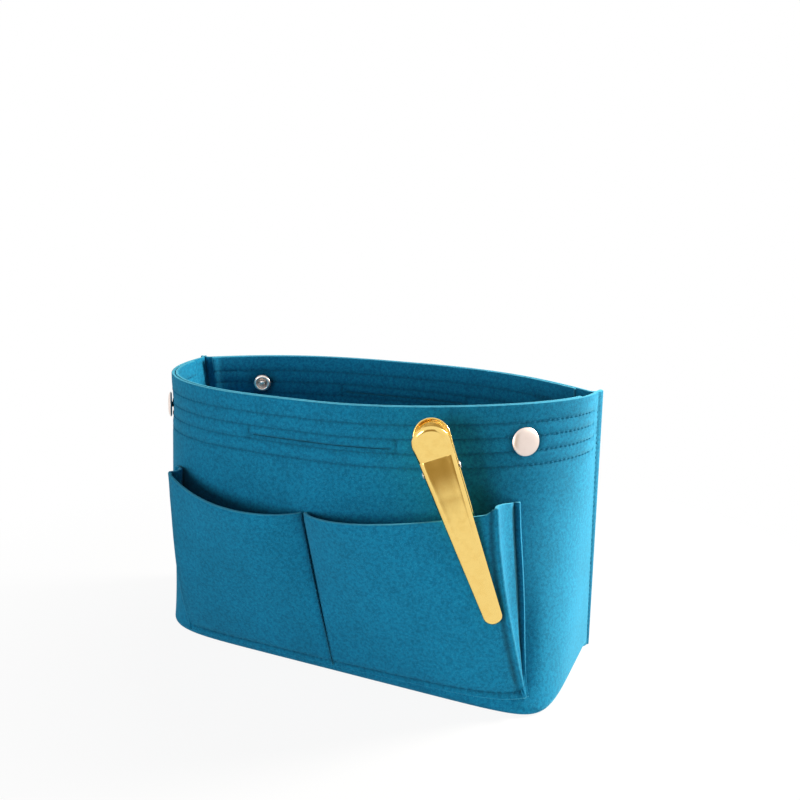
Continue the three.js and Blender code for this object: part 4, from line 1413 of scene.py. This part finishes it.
    def _row(self, across: Array, share: float) -> Array:
        """Traces one row from the centre seam over the fold and down the gusset to the flange's edge.

        Args:
            across: The panel's columns.
            share: The row's share of the height.

        Returns:
            The row's distances, standoffs and heights as columns.
        """
        sign = self.side.value
        panel = np.stack(self._panel_plan(across, np.full_like(across, share)), -1)
        ridge = np.array([v.item() for v in self._panel_plan(np.array(1.0), np.array(share))])
        foot_height = float(self.height(1.0, share)) - self.gusset_dip * share**self.rim_rise_power
        foot = np.array([float(self.foot_distance(share)), self.on_wall, foot_height])
        gusset = unit(foot - ridge)
        length = float(np.linalg.norm(foot - ridge))
        leg = min(self.ridge_leg, self.longest_ridge_leg * length)
        foot_leg = min(self.foot_leg, self.longest_foot_leg * length)
        near_leg = min(leg, self.longest_near_leg * float(np.linalg.norm(ridge - panel[-1])))
        near = ridge - unit(ridge - panel[-1]) * near_leg
        bend = rounded(near, ridge, ridge + gusset * leg, self.bend_points)
        along = np.linspace(0, 1, self.gusset_points + 2)[1:-1, None]
        hollow = self.gusset_hollow * min(1.0, length / self.hollow_length) * 4 * along * (1 - along)
        side_on = lerp(bend[-1], foot - gusset * foot_leg, along)
        side_on = side_on - np.array([-sign * gusset[1], sign * gusset[0], 0.0]) * hollow
        outward = np.array([sign * foot_leg, 0, 0])
        turn = rounded(foot - gusset * foot_leg, foot, foot + outward, self.turn_points)
        flat = np.linspace(foot_leg, self._flange_reach(share), self.flange_points + 1)[1:]
        lie = foot + np.outer(sign * flat, [1.0, 0, 0])
        return np.concatenate([panel, bend, side_on, turn, lie])

    def _flange_reach(self, share: float) -> float:
        """Returns how far the flange reaches out past the gusset's foot."""
        return abs(float(self.edge_distance(share)) - float(self.foot_distance(share)))

    def _relief(self, row: Array, across: Array, share: float) -> tuple[Array, Array]:
        """Finds the relief of a row: its creases, its welt and the furrows of its seams.

        Args:
            row: The row's distances, standoffs and heights as columns.
            across: The panel's columns.
            share: The row's share of the height.

        Returns:
            The relief in millimetres, and where the crease is painted paler as a highlight.
        """
        panel = len(across)
        ridge = panel + self.bend_points // 2
        foot = panel + self.bend_points + self.gusset_points + self.turn_points // 2
        run = np.append(0.0, np.cumsum(np.linalg.norm(np.diff(row, axis=0), axis=1)))
        from_ridge, past_foot = run - run[ridge], run - run[foot]
        full = smooth(share / self.relief_share)
        valley = self.valley_depth * bell(from_ridge + self.valley_place, self.valley_width)
        crease = bell(from_ridge, self.crease_width)
        ditch = self.ditch_depth * bell(past_foot, self.ditch_width)
        on_welt = np.clip((past_foot - self._flange_reach(share)) / self.welt_width + 1, 0, 1)
        welt = self.welt_rise * smooth(on_welt / self.welt_start) * (1 - self.welt_fall * on_welt**2)
        relief = full * (self.crease_rise * crease - valley - ditch + welt)
        relief = relief + self.centre_seam_depth * THREAD.furrow(run - self.centre_seam)
        floor = self.height(np.append(across, np.ones(len(row) - panel)), 0.0)
        seam = THREAD.furrow(row[:, 2] - floor - self.bottom_seam, row[:, 0])
        relief = relief + self.bottom_seam_depth * seam * (np.arange(len(row)) < panel)
        # the crease's painted highlight
        return relief, full * self.wear_and_painted_highlight_share * crease

    def mesh(self) -> MeshData:
        """Builds the pocket as one folded sheet."""
        width = abs(float(self.fold_distance(1.0) - self.centre_distance(1.0)))
        lines = (self.column_lines[0] / width, 1 - self.column_lines[1] / width)
        across = stations(0.0, 1.0 - self.ridge_leg / width, np.array(self.column_steps) / width, lines)
        rise = self.rim_at_centre - self.floor_at_centre
        share = stations(0.0, 1.0, np.array(self.row_steps) / rise, (self.bottom_seam / rise,))
        rows = [self._row(across, float(s)) for s in share]
        reliefs = [self._relief(row, across, float(s)) for row, s in zip(rows, share)]
        plan, (relief, wear_and_painted_highlight) = np.array(rows), (np.array(values) for values in zip(*reliefs))
        grid = FORM.wall(plan[..., 0], plan[..., 2], plan[..., 1])
        if self.side is Side.LEFT:
            grid, relief, wear_and_painted_highlight = grid[:, ::-1], relief[:, ::-1], wear_and_painted_highlight[:, ::-1]
        return Sheet(grid, front=relief, wear_and_painted_highlight=wear_and_painted_highlight).build()

    def stitches(self) -> MeshData:
        """Sews the bottom, the centre and the flange."""
        sign = self.side.value
        end = abs(float(self.seam_distance(0.0)))
        seed = 60 if sign > 0 else 70

        def bottom(along: Array, lift: Array) -> Array:
            """Finds points along the bottom seam."""
            share = np.full_like(along, self.bottom_seam / (self.rim_at_centre - self.floor_at_centre))
            centre = self.centre_distance(share)
            across = np.clip((sign * along - centre) / (self.fold_distance(share) - centre), 0, 1)
            distance, standoff, _ = self._panel_plan(across, share)
            return FORM.wall(distance, self.height(across, 0.0) + self.bottom_seam, standoff + lift)

        def on_flange(height: Array, lift: Array) -> Array:
            """Finds points along the flange's seam."""
            share = (height - self.floor_at_fold) / (self.rim_at_fold - self.floor_at_fold)
            distance = self.foot_distance(share) + sign * self.stitch_past_foot
            return FORM.wall(distance, height, self.on_wall - self.flange_stitch_sunk + lift)

        def centre(height: Array, lift: Array) -> Array:
            """Finds points along the centre seam."""
            share = (height - self.floor_at_centre) / (self.rim_at_centre - self.floor_at_centre)
            across = self.centre_seam / np.abs(self.fold_distance(share) - self.centre_distance(share))
            distance, standoff, _ = self._panel_plan(across, share)
            return FORM.wall(distance, height, standoff + lift)

        start, stop = self.bottom_row_ends
        foot, rim = self.centre_row_ends
        margin = self.flange_row_end
        runs = [
            THREAD.sew(bottom, start, end - stop, seed),
            THREAD.sew(on_flange, self.floor_at_fold + margin, self.rim_at_fold - margin, seed + 1),
            THREAD.sew(centre, self.floor_at_centre + foot, self.rim_at_centre - rim, seed + 2),
        ]
        return MeshData.joined(runs)

    def build(self, finishes: Finishes) -> None:
        """Makes the pieces."""
        name = self.side.name.lower()
        replaced = [f"{name}_pocket_front", f"{name}_pocket_gusset"]
        put(f"felt_{name}_pocket", self.mesh(), finishes.felt, Slot.FELT, replaced)
        put(f"{name}_pocket_stitches", self.stitches(), finishes.thread, Slot.FELT, [])


LEFT_POCKET = FrontPocket(
    Side.LEFT,
    floor_at_fold=7.0,
    rim_at_fold=111.0,
    rim_power=3.0,
    billow=15.0,
    fold_depth=10.0,
    fold_inset=9.0,
    foot_inset=9.0,
    flare=3.0,
    opening_power=2.8,
    crease_rise=0.0,
    valley_depth=0.35,
    valley_width=2.2,
    ridge_leg=4.5,
)
RIGHT_POCKET = FrontPocket(
    Side.RIGHT,
    floor_at_fold=10.5,
    rim_at_fold=112.0,
    rim_power=1.3,
    billow=12.0,
    fold_depth=18.0,
    fold_inset=14.0,
    foot_inset=-3.0,
    rim_step=2.4,
)


@dataclass
class SlipPockets:
    """The two panels inside, sewn down between their compartments."""

    height: float = 105.0
    floor: float = 10.0
    bulge: float = 8.0
    front_half: float = 78.0
    back_half: float = 96.0
    front_count: int = 2
    back_count: int = 3
    bulge_power: float = 0.7
    bottom_seam: float = 3.0
    end_seam: float = 2.5
    seam_ends: Pair = (5.0, 1.0)
    bottom_row_end: float = 3.0
    column_steps: Triple = (2.4, 0.8, 4.0)
    row_steps: Triple = (2.6, 0.6, 1.6)

    def _plan(self, count: int, t: Array, z: Array) -> Array:
        """Returns how far in from the wall's outer face the panel's inward face lies."""
        share = (z - self.floor) / (self.height - self.floor)
        wave = np.abs(np.sin(math.pi * count * t)) ** self.bulge_power
        return 2 * FORM.felt + FORM.pocket_gap + self.bulge * wave * np.clip(share, 0, 1)

    def front(self, t: Array, z: Array, lift: Array = 0.0) -> Array:
        """Finds points on the front panel's inward face; t runs from right to left."""
        distance = lerp(self.front_half, -self.front_half, t)
        return FORM.wall(distance, z, -(self._plan(self.front_count, t, z) + lift))

    def back(self, t: Array, z: Array, lift: Array = 0.0) -> Array:
        """Finds points on the back panel's inward face; t runs from left to right."""
        place = lerp(-self.back_half, self.back_half, t) / FORM.back_corner(z)[0]
        return FORM.back(place, z, -(self._plan(self.back_count, t, z) + lift))

    def panel(self, face: Callable, count: int, width: float) -> MeshData:
        """Builds a panel.

        Args:
            face: Gives points from shares across and heights.
            count: How many compartments.
            width: The panel's width in millimetres.

        Returns:
            Its mesh.
        """
        seams = [k / count for k in range(count + 1)]
        t = stations(0.0, 1.0, np.array(self.column_steps) / width, seams)[None, :]
        foot_seam = (self.floor + self.bottom_seam,)
        z = stations(self.floor, self.height, self.row_steps, foot_seam)[:, None]
        beside = np.min([np.abs(t - seam) * width for seam in seams[1:-1]], axis=0)
        relief = THREAD.furrow(z - self.floor - self.bottom_seam) + THREAD.furrow(beside)
        return Sheet(face(t, z), front=relief).build()

    def stitches(self) -> MeshData:
        """Sews the compartments' seams, the ends and the foot."""
        runs = []
        low, high = self.floor + self.seam_ends[0], self.height - self.seam_ends[1]
        foot, margin = self.floor + self.bottom_seam, self.bottom_row_end
        for seed, face, count, half in (
            (80, self.front, self.front_count, self.front_half),
            (90, self.back, self.back_count, self.back_half),
        ):
            width = 2 * half
            end = self.end_seam / width
            for k, t in enumerate([end, *(k / count for k in range(1, count)), 1 - end]):
                runs.append(THREAD.sew(lambda s, up: face(np.full_like(s, t), s, up), low, high, seed + k))
            ends = (margin, width - margin)
            runs.append(THREAD.sew(lambda s, up: face(s / width, np.full_like(s, foot), up), *ends, seed + 5))
        return MeshData.joined(runs)

    def build(self, finishes: Finishes) -> None:
        """Makes the pieces."""
        front = self.panel(self.front, self.front_count, 2 * self.front_half)
        back = self.panel(self.back, self.back_count, 2 * self.back_half)
        put("felt_front_inner_pocket", front, finishes.felt, Slot.FELT, ["front_inner_pocket"])
        put("felt_back_inner_pocket", back, finishes.felt, Slot.FELT, ["back_inner_pocket"])
        put("inner_pocket_stitches", self.stitches(), finishes.thread, Slot.FELT, [])


@dataclass
class Snaps:
    """Four snap fasteners: caps outside, studs inside the front wall, sockets inside the back wall."""

    walls: Walls
    cap_diameter: float = 15.0
    cap_rise: float = 2.2
    post: float = 1.6
    seat: float = 0.3
    lip: float = 0.8
    lip_angle: float = 0.9
    lip_tuck: float = 0.5
    lip_width: float = 0.9
    dome_power: float = 0.55
    rise_power: float = 1.6
    post_length: float = 2.2
    post_bevel: float = 0.2
    plate: float = 0.6
    stud_height: float = 3.4
    socket_height: float = 3.0
    dome_points: int = 26
    cap_sides: int = 64

    @property
    def inner_seat(self) -> float:
        """The level of the studs' and sockets' seat, inside both layers of felt."""
        return -(2 * FORM.felt + FORM.layer_gap + self.plate)

    def cap(self) -> MeshData:
        """Turns a cap: a low satin dome with a rolled rim, on its post."""
        radius = self.cap_diameter / 2
        angle = np.linspace(-self.lip_angle, math.pi / 2, self.dome_points)
        below = angle < 0
        outer = radius * np.maximum(np.cos(angle), 0) ** self.dome_power
        rise = np.where(below, self.lip, self.cap_rise - self.lip)
        turn = np.sign(angle) * np.abs(np.sin(angle)) ** self.rise_power
        level = self.seat + self.lip + rise * turn
        outer[below] = radius - self.lip_tuck * np.sin(-angle[below]) ** 2
        end = -(2 * FORM.felt + FORM.layer_gap + self.post_length)
        bevel = self.post_bevel
        foot = [(0.0, end), (self.post - bevel, end), (self.post, end + bevel)]
        under = [(self.post, self.seat), (radius - self.lip_width, self.seat)]
        return lathe([*foot, *under, *zip(outer, level)], self.cap_sides)

    def stud(self) -> MeshData:
        """Turns a stud: a plate with a waisted nipple."""
        seat = self.inner_seat
        tip = seat - self.stud_height
        mouth = [(1.9, seat), (1.9, tip + 0.4), (2.3, tip), (2.6, tip + 0.02)]
        nipple = [(2.95, tip + 0.2), (3.15, tip + 0.5), (3.2, tip + 0.8), (3.1, tip + 1.15)]
        waist = [(2.9, tip + 1.6), (2.88, seat - 1.15), (3.0, seat - 0.95), (3.3, seat - 0.85)]
        plate = [(4.6, seat - 0.8), (4.9, seat - 0.65), (5.0, seat - 0.4), (4.9, seat - 0.1), (4.7, seat)]
        return lathe([*mouth, *nipple, *waist, *plate])

    def socket(self) -> MeshData:
        """Turns a socket: a ring with a rolled lip round its mouth."""
        seat = self.inner_seat
        tip = seat - self.socket_height
        mouth = [(1.9, seat), (1.9, seat - 0.8), (3.5, seat - 0.82), (3.5, tip + 0.5)]
        inner_lip = [(3.55, tip + 0.25), (3.75, tip + 0.06), (4.05, tip), (4.5, tip + 0.04)]
        outer_lip = [(4.9, tip + 0.22), (5.2, tip + 0.5), (5.4, tip + 0.9), (5.48, tip + 1.4)]
        foot = [(5.5, seat - 0.3), (5.4, seat - 0.06), (5.2, seat)]
        return lathe([*mouth, *inner_lip, *outer_lip, *foot])

    def seat_of(self, point: Callable[[float, float], Array]) -> tuple[Array, Array]:
        """Finds a snap's orientation and origin from the wall round it.

        Args:
            point: Gives the wall's points from offsets to the right and up.

        Returns:
            Its axes as columns, Z out of the wall, and its origin.
        """
        radius = self.cap_diameter / 2
        along = unit(point(radius, 0.0) - point(-radius, 0.0))
        up = point(0.0, radius) - point(0.0, -radius)
        out = unit(np.cross(along, up))
        return np.stack([along, np.cross(out, along), out], -1), point(0.0, 0.0)

    def build(self, finishes: Finishes) -> None:
        """Makes the pieces."""
        for side, (along, height) in zip(Side, self.walls.front_snaps()):
            seat = self.seat_of(lambda a, u: FORM.wall(along + a, height + u))
            self._put(f"front_{side.name.lower()}", "stud", self.stud(), seat, finishes)
        for side, (along, height) in zip(Side, self.walls.back_snaps()):
            half = float(FORM.back_corner(height)[0])
            seat = self.seat_of(lambda a, u: FORM.back((along - a) / half, height + u))
            self._put(f"back_{side.name.lower()}", "socket", self.socket(), seat, finishes)

    def _put(
        self, place: str, partner: str, mesh: MeshData, seat: Sequence[Array], finishes: Finishes
    ) -> None:
        """Places a cap and its partner."""
        for name, part in (("cap", self.cap()), (partner, mesh)):
            put(f"{place}_{name}", part.moved(*seat), finishes.snap, Slot.SNAP, [f"{place}_snap_{name}"])


@dataclass
class SpringClip:
    """The long gold clip on the right pocket's rim, drawn in its own frame.

    The pin runs along X through the origin, Z points up to the heads, and the front jaw is on -Y.
    """

    head: float = 9.5
    tip: float = 4.85
    head_rise: float = 15.6
    reach: float = 84.5
    metal: float = 0.9
    edge_depth: float = 1.3
    edge_reach: float = 1.7
    skirt: float = 0.7
    arch: float = 2.2
    arch_place: float = 30.0
    crease: float = 7.5
    crease_half: float = 0.6
    felt_clearance: float = 0.85
    felt_bow: float = 0.45
    standoff: float = 4.0
    bend_length: float = 20.0
    head_angle: float = 16.5
    above_rim: float = 26.5
    level_share: float = 0.8
    level_reach: Pair = (-0.05, 0.1)
    rim_place: float = 0.835
    tip_place: float = 0.94
    tip_share: float = 0.45
    flank_steps: Triple = (1.6, 0.3, 1.2)
    head_points: int = 47
    tip_points: int = 31
    lean_levels: Triple = (-90.0, 30.0, 0.05)
    insets: tuple[float, ...] = (0.0, 0.12, 0.3, 0.55, 0.85, 1.2, 1.6, 2.05, 2.6, 3.0, 3.6)
    inner_shares: tuple[float, ...] = (0.6, 0.25, 0.0)
    edge_power: float = 2.2
    dish: float = 0.12
    dish_start: float = 1.6
    dish_width: float = 2.5
    lip: float = 0.18
    pin: float = 1.2
    pin_head: float = 1.9
    pin_head_thickness: float = 0.8
    ear: float = 2.8
    ear_thickness: float = 0.8
    ear_from_edge: float = 1.5
    ear_bevel: float = 0.15
    ear_sides: int = 64
    running_gap: float = 0.35
    wire: float = 0.9
    turns: float = 3.5
    turn_gap: float = 0.55
    pin_clearance: float = 0.45
    leg_height: float = 9.0
    leg_clearance: float = 0.3
    coil_points: int = 141
    leg_points: int = 14
    wire_sides: int = 12
    pin_sides: int = 40

    def frame(self) -> tuple[Array, Array]:
        """Finds the clip's axes, as columns, and origin from the pocket that it holds."""
        def bare(across: float, share: float) -> Array:
            """Finds a point on the pocket without its rim step and flare."""
            pocket = RIGHT_POCKET
            centre, fold = float(pocket.centre_distance(share)), float(pocket.fold_distance(share))
            billow = pocket.billow * math.sin(math.pi * across**pocket.billow_lean)
            off = pocket.on_wall + billow * share**pocket.billow_growth
            off += pocket.fold_depth * float(pocket.growth(share)) * across**2
            return FORM.wall(lerp(centre, fold, across), float(pocket.height(across, share)), off)

        rim, tip = bare(self.rim_place, 1.0), bare(self.tip_place, self.tip_share)
        up = unit(rim - tip)
        start, stop = (bare(self.rim_place + aside, self.level_share) for aside in self.level_reach)
        inward = unit(np.cross(up, stop - start))
        origin = rim + inward * (FORM.felt / 2 - self.felt_bow) + up * self.above_rim
        return np.stack([np.cross(inward, up), inward, up], -1), origin

    def half_width(self, z: Array) -> Array:
        """Returns the jaw's half width on its straight stretch."""
        foot = -self.reach + self.tip
        width = lerp(self.head, self.tip, np.clip((self.head_rise - z) / (self.head_rise - foot), 0, 1))
        return width - self.skirt

    def web(self, z: Array) -> Array:
        """Returns how far the web's inner face stands off the felt's middle plane."""
        grip = FORM.felt / 2 + self.felt_clearance + self.edge_depth
        below = grip + (self.standoff - grip) * np.clip(1 + (z - self.crease) / self.bend_length, 0, 1)
        down = np.maximum(0.0, self.crease - z) / self.arch_place
        below = below + self.arch * down * np.exp(1 - down)
        above = self.standoff + (z - self.crease) * math.tan(math.radians(self.head_angle))
        blend = smooth((z - self.crease + self.crease_half) / (2 * self.crease_half))
        return lerp(below, above, blend)

    def _outline(self) -> tuple[Array, Array, Array]:
        """Draws a jaw's outline: two flanks between the round head and the round tip.

        Returns:
            The outline's X and Z, and the Z on the middle line that each point faces.
        """
        head, tip = self.head - self.skirt, self.tip - self.skirt
        foot = -self.reach + self.tip
        flank = stations(foot, self.head_rise, self.flank_steps, (self.crease,))
        width = self.half_width(flank)
        top = np.linspace(0, math.pi, self.head_points + 2)[1:-1]
        low = np.linspace(0, math.pi, self.tip_points + 2)[1:-1]
        x = np.concatenate([width, head * np.cos(top), -width[::-1], -tip * np.cos(low)])
        crown, toe = self.head_rise + head * np.sin(top), foot - tip * np.sin(low)
        z = np.concatenate([flank, crown, flank[::-1], toe])
        ends = np.full(len(top), self.head_rise), np.full(len(low), foot)
        return x, z, np.concatenate([flank, ends[0], flank[::-1], ends[1]])

    def _web_lean(self, z: Array) -> Array:
        """Returns how steeply the web leans at a height."""
        low, high, step = self.lean_levels
        level = np.linspace(low, high, round((high - low) / step) + 1)
        return np.interp(z, level, np.gradient(self.web(level), step))

    def jaw(self, side: int) -> MeshData:
        """Presses a jaw: a web between the two round ends, its edge turned towards the felt all round.

        Args:
            side: -1 for the front jaw and 1 for the back one.

        Returns:
            Its mesh, a closed shell.
        """
        rim_x, rim_z, centre = self._outline()
        width = np.hypot(rim_x, rim_z - centre)
        share = 1 - np.array(self.insets)[:, None] / width
        share = np.concatenate([share, share[-1] * np.array(self.inner_shares)[:, None]])
        x = rim_x * share
        z = centre + (rim_z - centre) * share
        from_edge = (1 - share) * width
        on_edge = np.clip(1 - from_edge / self.edge_reach, 0, 1)
        turn = self.edge_depth * on_edge**self.edge_power
        inner = self.web(z) - turn - self.dish * ease(from_edge, self.dish_start, self.dish_width)
        slope = self.edge_power / self.edge_reach * self.edge_depth * on_edge ** (self.edge_power - 1)
        outward = np.stack([rim_x / width, (rim_z - centre) / width], -1)
        lean = slope * outward[:, 1] - self._web_lean(z)
        normal = unit(np.stack([slope * outward[:, 0], np.ones_like(z), lean], -1))
        inside = np.stack([x, inner, z], -1)
        outside = inside + normal * self.metal
        bulge = np.stack([outward[:, 0], 0 * x[0], outward[:, 1]], -1) * self.lip
        edge = (outside[0] + inside[0]) / 2 + bulge
        loops = np.concatenate([outside[::-1], edge[None], inside])
        loops[..., 1] *= side
        number = np.arange(loops[..., 0].size).reshape(loops.shape[:2])
        faces = ring_faces(number[:-1], number[1:])
        return MeshData(loops.reshape(-1, 3), [faces if side > 0 else faces[:, ::-1]])

    def ears(self, side: int, centre: float) -> MeshData:
        """Cuts the pair of drilled ears that join a jaw to the pin.

        Args:
            side: -1 for the front jaw and 1 for the back one.
            centre: The ears' distance from the middle.

        Returns:
            Both ears.
        """
        count = self.ear_sides
        angle = once_round(count)
        y, z = side * np.cos(angle), np.sin(angle)
        root = float(self.web(np.array(0.0))) + self.metal / 2
        to_root = root / np.maximum(side * y, POLE_RADIUS)
        to_flank = self.ear / np.maximum(np.abs(z), POLE_RADIUS)
        reach = np.where(side * y > 0, np.minimum(to_root, to_flank), self.ear)
        bore = self.pin + self.running_gap
        half, bevel = self.ear_thickness / 2, self.ear_bevel
        rings = [(bore, -half), (reach - bevel, -half), (reach, bevel - half)]
        rings += [(radius, -x) for radius, x in reversed(rings)]
        found = []
        for hand in (-1, 1):
            loops = []
            for radius, x in rings:
                loops.append(np.stack([np.full(count, hand * centre + x), radius * y, radius * z], -1))
            points = np.concatenate(loops)
            number = np.arange(len(points)).reshape(len(rings), count)
            faces = ring_faces(number, np.roll(number, -1, axis=0))
            found.append(MeshData(points, [faces if side > 0 else faces[:, ::-1]]))
        return MeshData.joined(found)

    def hinge_pin(self) -> MeshData:
        """Turns the pin, with a riveted head at both ends."""
        half = float(self.half_width(np.array(0.0))) + self.skirt + self.running_gap
        end = half + self.pin_head_thickness
        head = self.pin_head
        dome = [(0.0, end), (head * 0.5, end - 0.04), (head * 0.82, end - 0.16), (head, end - 0.4)]
        upper = [(self.pin, half), (head - 0.1, half), (head, half + 0.08), *reversed(dome)]
        lower = [(radius, -level) for radius, level in reversed(upper)]
        turned = lathe([*lower, *upper], self.pin_sides)
        turned.points = turned.points[:, [2, 0, 1]]
        return turned

    def spring_wire(self) -> tuple[Array, Array]:
        """Traces the spring's wire.

        Returns:
            The front leg's path, and the path of the coil with the back leg.
        """
        radius = self.pin + self.wire / 2 + self.pin_clearance
        length = self.turns * (self.wire + self.turn_gap)
        t = np.linspace(0, 1, self.coil_points)
        angle = math.pi * (1 + 2 * self.turns * t)
        coil = np.stack([(t - 0.5) * length, radius * np.cos(angle), radius * np.sin(angle)], -1)
        end = float(self.web(np.array(self.leg_height))) - self.wire / 2 - self.leg_clearance
        share = np.linspace(0, 1, self.leg_points)[:, None]
        front, back = (
            lerp(foot, np.array([foot[0], side * end, self.leg_height]), share)
            for foot, side in ((coil[0], -1), (coil[-1], 1))
        )
        return front, np.concatenate([coil, back[1:]])

    def build(self, finishes: Finishes) -> None:
        """Makes the pieces."""
        axes, origin = self.frame()
        edge = float(self.half_width(np.array(0.0))) + self.skirt
        outer = edge - self.ear_from_edge - self.ear_thickness / 2
        inner = outer - self.ear_thickness - self.running_gap
        front = MeshData.joined([self.jaw(-1), self.ears(-1, outer)])
        back = MeshData.joined([self.jaw(1), self.ears(1, inner)])
        leg, coil = (tube(path[None], self.wire / 2, self.wire_sides) for path in self.spring_wire())
        gold, steel = (finishes.gold, Slot.GOLD), (finishes.steel, Slot.STEEL)
        pieces = (
            ("clip_front_plate", front, *gold, ["clip_front_jaw"], Body.LEVER),
            ("clip_back_plate", back, *gold, ["clip_back_jaw"], Body.BAG),
            ("clip_pin", self.hinge_pin(), *steel, ["clip_hinge_pin"], Body.BAG),
            ("clip_coil", coil, *steel, ["clip_spring"], Body.BAG),
            ("clip_spring_leg", leg, *steel, [], Body.LEVER),
        )
        for name, mesh, material, slot, replaced, body in pieces:
            put(name, mesh.moved(axes, origin), material, slot, replaced, body)


def heading(azimuth: float, elevation: float) -> Array:
    """Returns the way from the bag to a spot, in degrees round from the front towards the right, and up."""
    a, e = math.radians(azimuth), math.radians(elevation)
    return np.array([math.sin(a) * math.cos(e), -math.cos(a) * math.cos(e), math.sin(e)])


def hang(data: bpy.types.ID, spot: Vector, forward: Vector) -> bpy.types.Object:
    """Hangs a camera or a light at a spot, looking forward."""
    holder = bpy.data.objects.new(data.name, data)
    holder.location = spot
    holder.rotation_euler = forward.to_track_quat("-Z", "Y").to_euler()
    bpy.context.scene.collection.objects.link(holder)
    return holder


def flat(name: str, corners: Sequence[Sequence[float]], material: Material) -> bpy.types.Object:
    """Makes a flat piece of the stage from its four corners."""
    mesh = bpy.data.meshes.new(name)
    mesh.from_pydata(corners, [], [(0, 1, 2, 3)])
    mesh.materials.append(material)
    return bpy.data.objects.new(name, mesh)


@dataclass(frozen=True)
class Lamp:
    """A round area light that faces the bag; its distance and width are metres, its power watts."""

    name: str
    azimuth: float
    elevation: float
    away: float
    size: float
    power: float
    tint: Triple = (1.0, 1.0, 1.0)
    aim: float = 0.09

    def light(self) -> None:
        """Hangs the light."""
        spot = Vector(heading(self.azimuth, self.elevation)) * self.away
        data = bpy.data.lights.new(self.name, "AREA")
        data.shape = "DISK"
        data.size = self.size
        data.energy = self.power
        data.color = self.tint
        hang(data, spot, Vector((0, 0, self.aim)) - spot)


@dataclass
class Studio:
    """The white floor and surroundings, a card for the gold to mirror, the lights and the camera.

    The camera's place and target are millimetres in the bag's frame; the floor's and the card's
    sizes are metres.
    """

    azimuth: float = 23.7
    elevation: float = 13.5
    film_width: float = 36.0
    focal: float = 924.3 / 800.0 * 36.0
    distance: float = 523.5
    clip_start: float = 0.01
    target: Triple = (22.2, 3.0, 150.7)
    ambient: float = 0.2
    floor_reach: float = 60.0
    floor_tone: float = 0.72
    shadow_span: Pair = (0.12, 0.36)
    shadow_glow: Pair = (0.92, 1.0)
    card_left: Pair = (0.06, -0.39)
    card_right: Pair = (0.32, -0.30)
    card_head: float = 0.32
    card_fade: float = 0.065
    card_tone: tuple[float, ...] = (0.38, 0.29, 0.15, 1.0)
    key: Lamp = Lamp("key", 126.0, 34.0, 0.75, 0.22, 13.6, (1.0, 0.94, 0.84))
    fill: Lamp = Lamp("fill", -12.0, 10.0, 1.71, 0.9, 20.0)

    def camera(self) -> None:
        """Places the camera that took the photograph."""
        away = heading(self.azimuth, self.elevation)
        data = bpy.data.cameras.new("camera")
        data.lens = self.focal
        data.sensor_width = self.film_width
        data.clip_start = self.clip_start
        spot = to_frame(np.array(self.target) + away * self.distance)
        bpy.context.scene.camera = hang(data, Vector(spot), Vector(-away))

    def world(self) -> None:
        """Surrounds the stage with white to look at and mirror, and with soft grey light."""
        graph = Graph(bpy.data.worlds.new("studio"))
        white = graph.add("Background", {0: WHITE, 1: 1.0}).outputs[0]
        soft = graph.add("Background", {0: WHITE, 1: self.ambient}).outputs[0]
        shader = graph.add("MixShader", {0: graph.looked_at(), 1: soft, 2: white}).outputs[0]
        bpy.context.scene.world = graph.finish(shader, "OutputWorld")

    def floor(self) -> None:
        """Lays a white floor that keeps the bag's shadow near it and fades into the background."""
        graph = Graph(bpy.data.materials.new("white_floor"))
        tone = (self.floor_tone, self.floor_tone, self.floor_tone, 1.0)
        diffuse = graph.add("BsdfDiffuse", {"Color": tone}).outputs[0]
        glow = graph.add("Emission", {"Color": WHITE, "Strength": 1.0}).outputs[0]
        away = graph.add("VectorMath", {0: graph.place()}, operation="LENGTH").outputs["Value"]
        fade = graph.span(away, *self.shadow_span, *self.shadow_glow)
        share = graph.reckon("MULTIPLY", graph.looked_at(), fade)
        material = graph.finish(graph.add("MixShader", {0: share, 1: diffuse, 2: glow}).outputs[0])
        reach = self.floor_reach
        corners = [(-reach, -reach, 0), (reach, -reach, 0), (reach, reach, 0), (-reach, reach, 0)]
        floor = flat("floor", corners, material)
        bpy.context.scene.collection.objects.link(floor)

    def card(self) -> None:
        """Stands a card before the bag that only mirrors see, dark above its foot, to tone the gold."""
        graph = Graph(bpy.data.materials.new("grey_card"))
        level = graph.add("SeparateXYZ", {0: graph.place()}).outputs["Z"]
        tone = graph.mix(graph.span(level, 0.0, self.card_fade), WHITE, self.card_tone)
        material = graph.finish(graph.add("Emission", {"Color": tone, "Strength": 1.0}).outputs[0])
        left, right, head = self.card_left, self.card_right, self.card_head
        corners = [(*left, 0.0), (*right, 0.0), (*right, head), (*left, head)]
        card = flat("grey_card", corners, material)
        for ray in ("camera", "diffuse", "transmission", "volume_scatter", "shadow"):
            setattr(card, f"visible_{ray}", False)
        bpy.context.scene.collection.objects.link(card)

    def build(self) -> None:
        """Sets the stage."""
        self.camera()
        self.world()
        self.floor()
        self.card()
        self.key.light()
        self.fill.light()
        bpy.context.scene.view_settings.view_transform = "Standard"


def main() -> None:
    """Builds the bag, its clip and the studio."""
    logging.basicConfig(level=logging.INFO, format="%(message)s")
    finishes = Finishes.make()
    walls = Walls()
    walls.build(finishes)
    BasePanel().build(finishes)
    LEFT_POCKET.build(finishes)
    RIGHT_POCKET.build(finishes)
    SlipPockets().build(finishes)
    Snaps(walls).build(finishes)
    SpringClip().build(finishes)
    Studio().build()


if __name__ == "__main__":
    main()
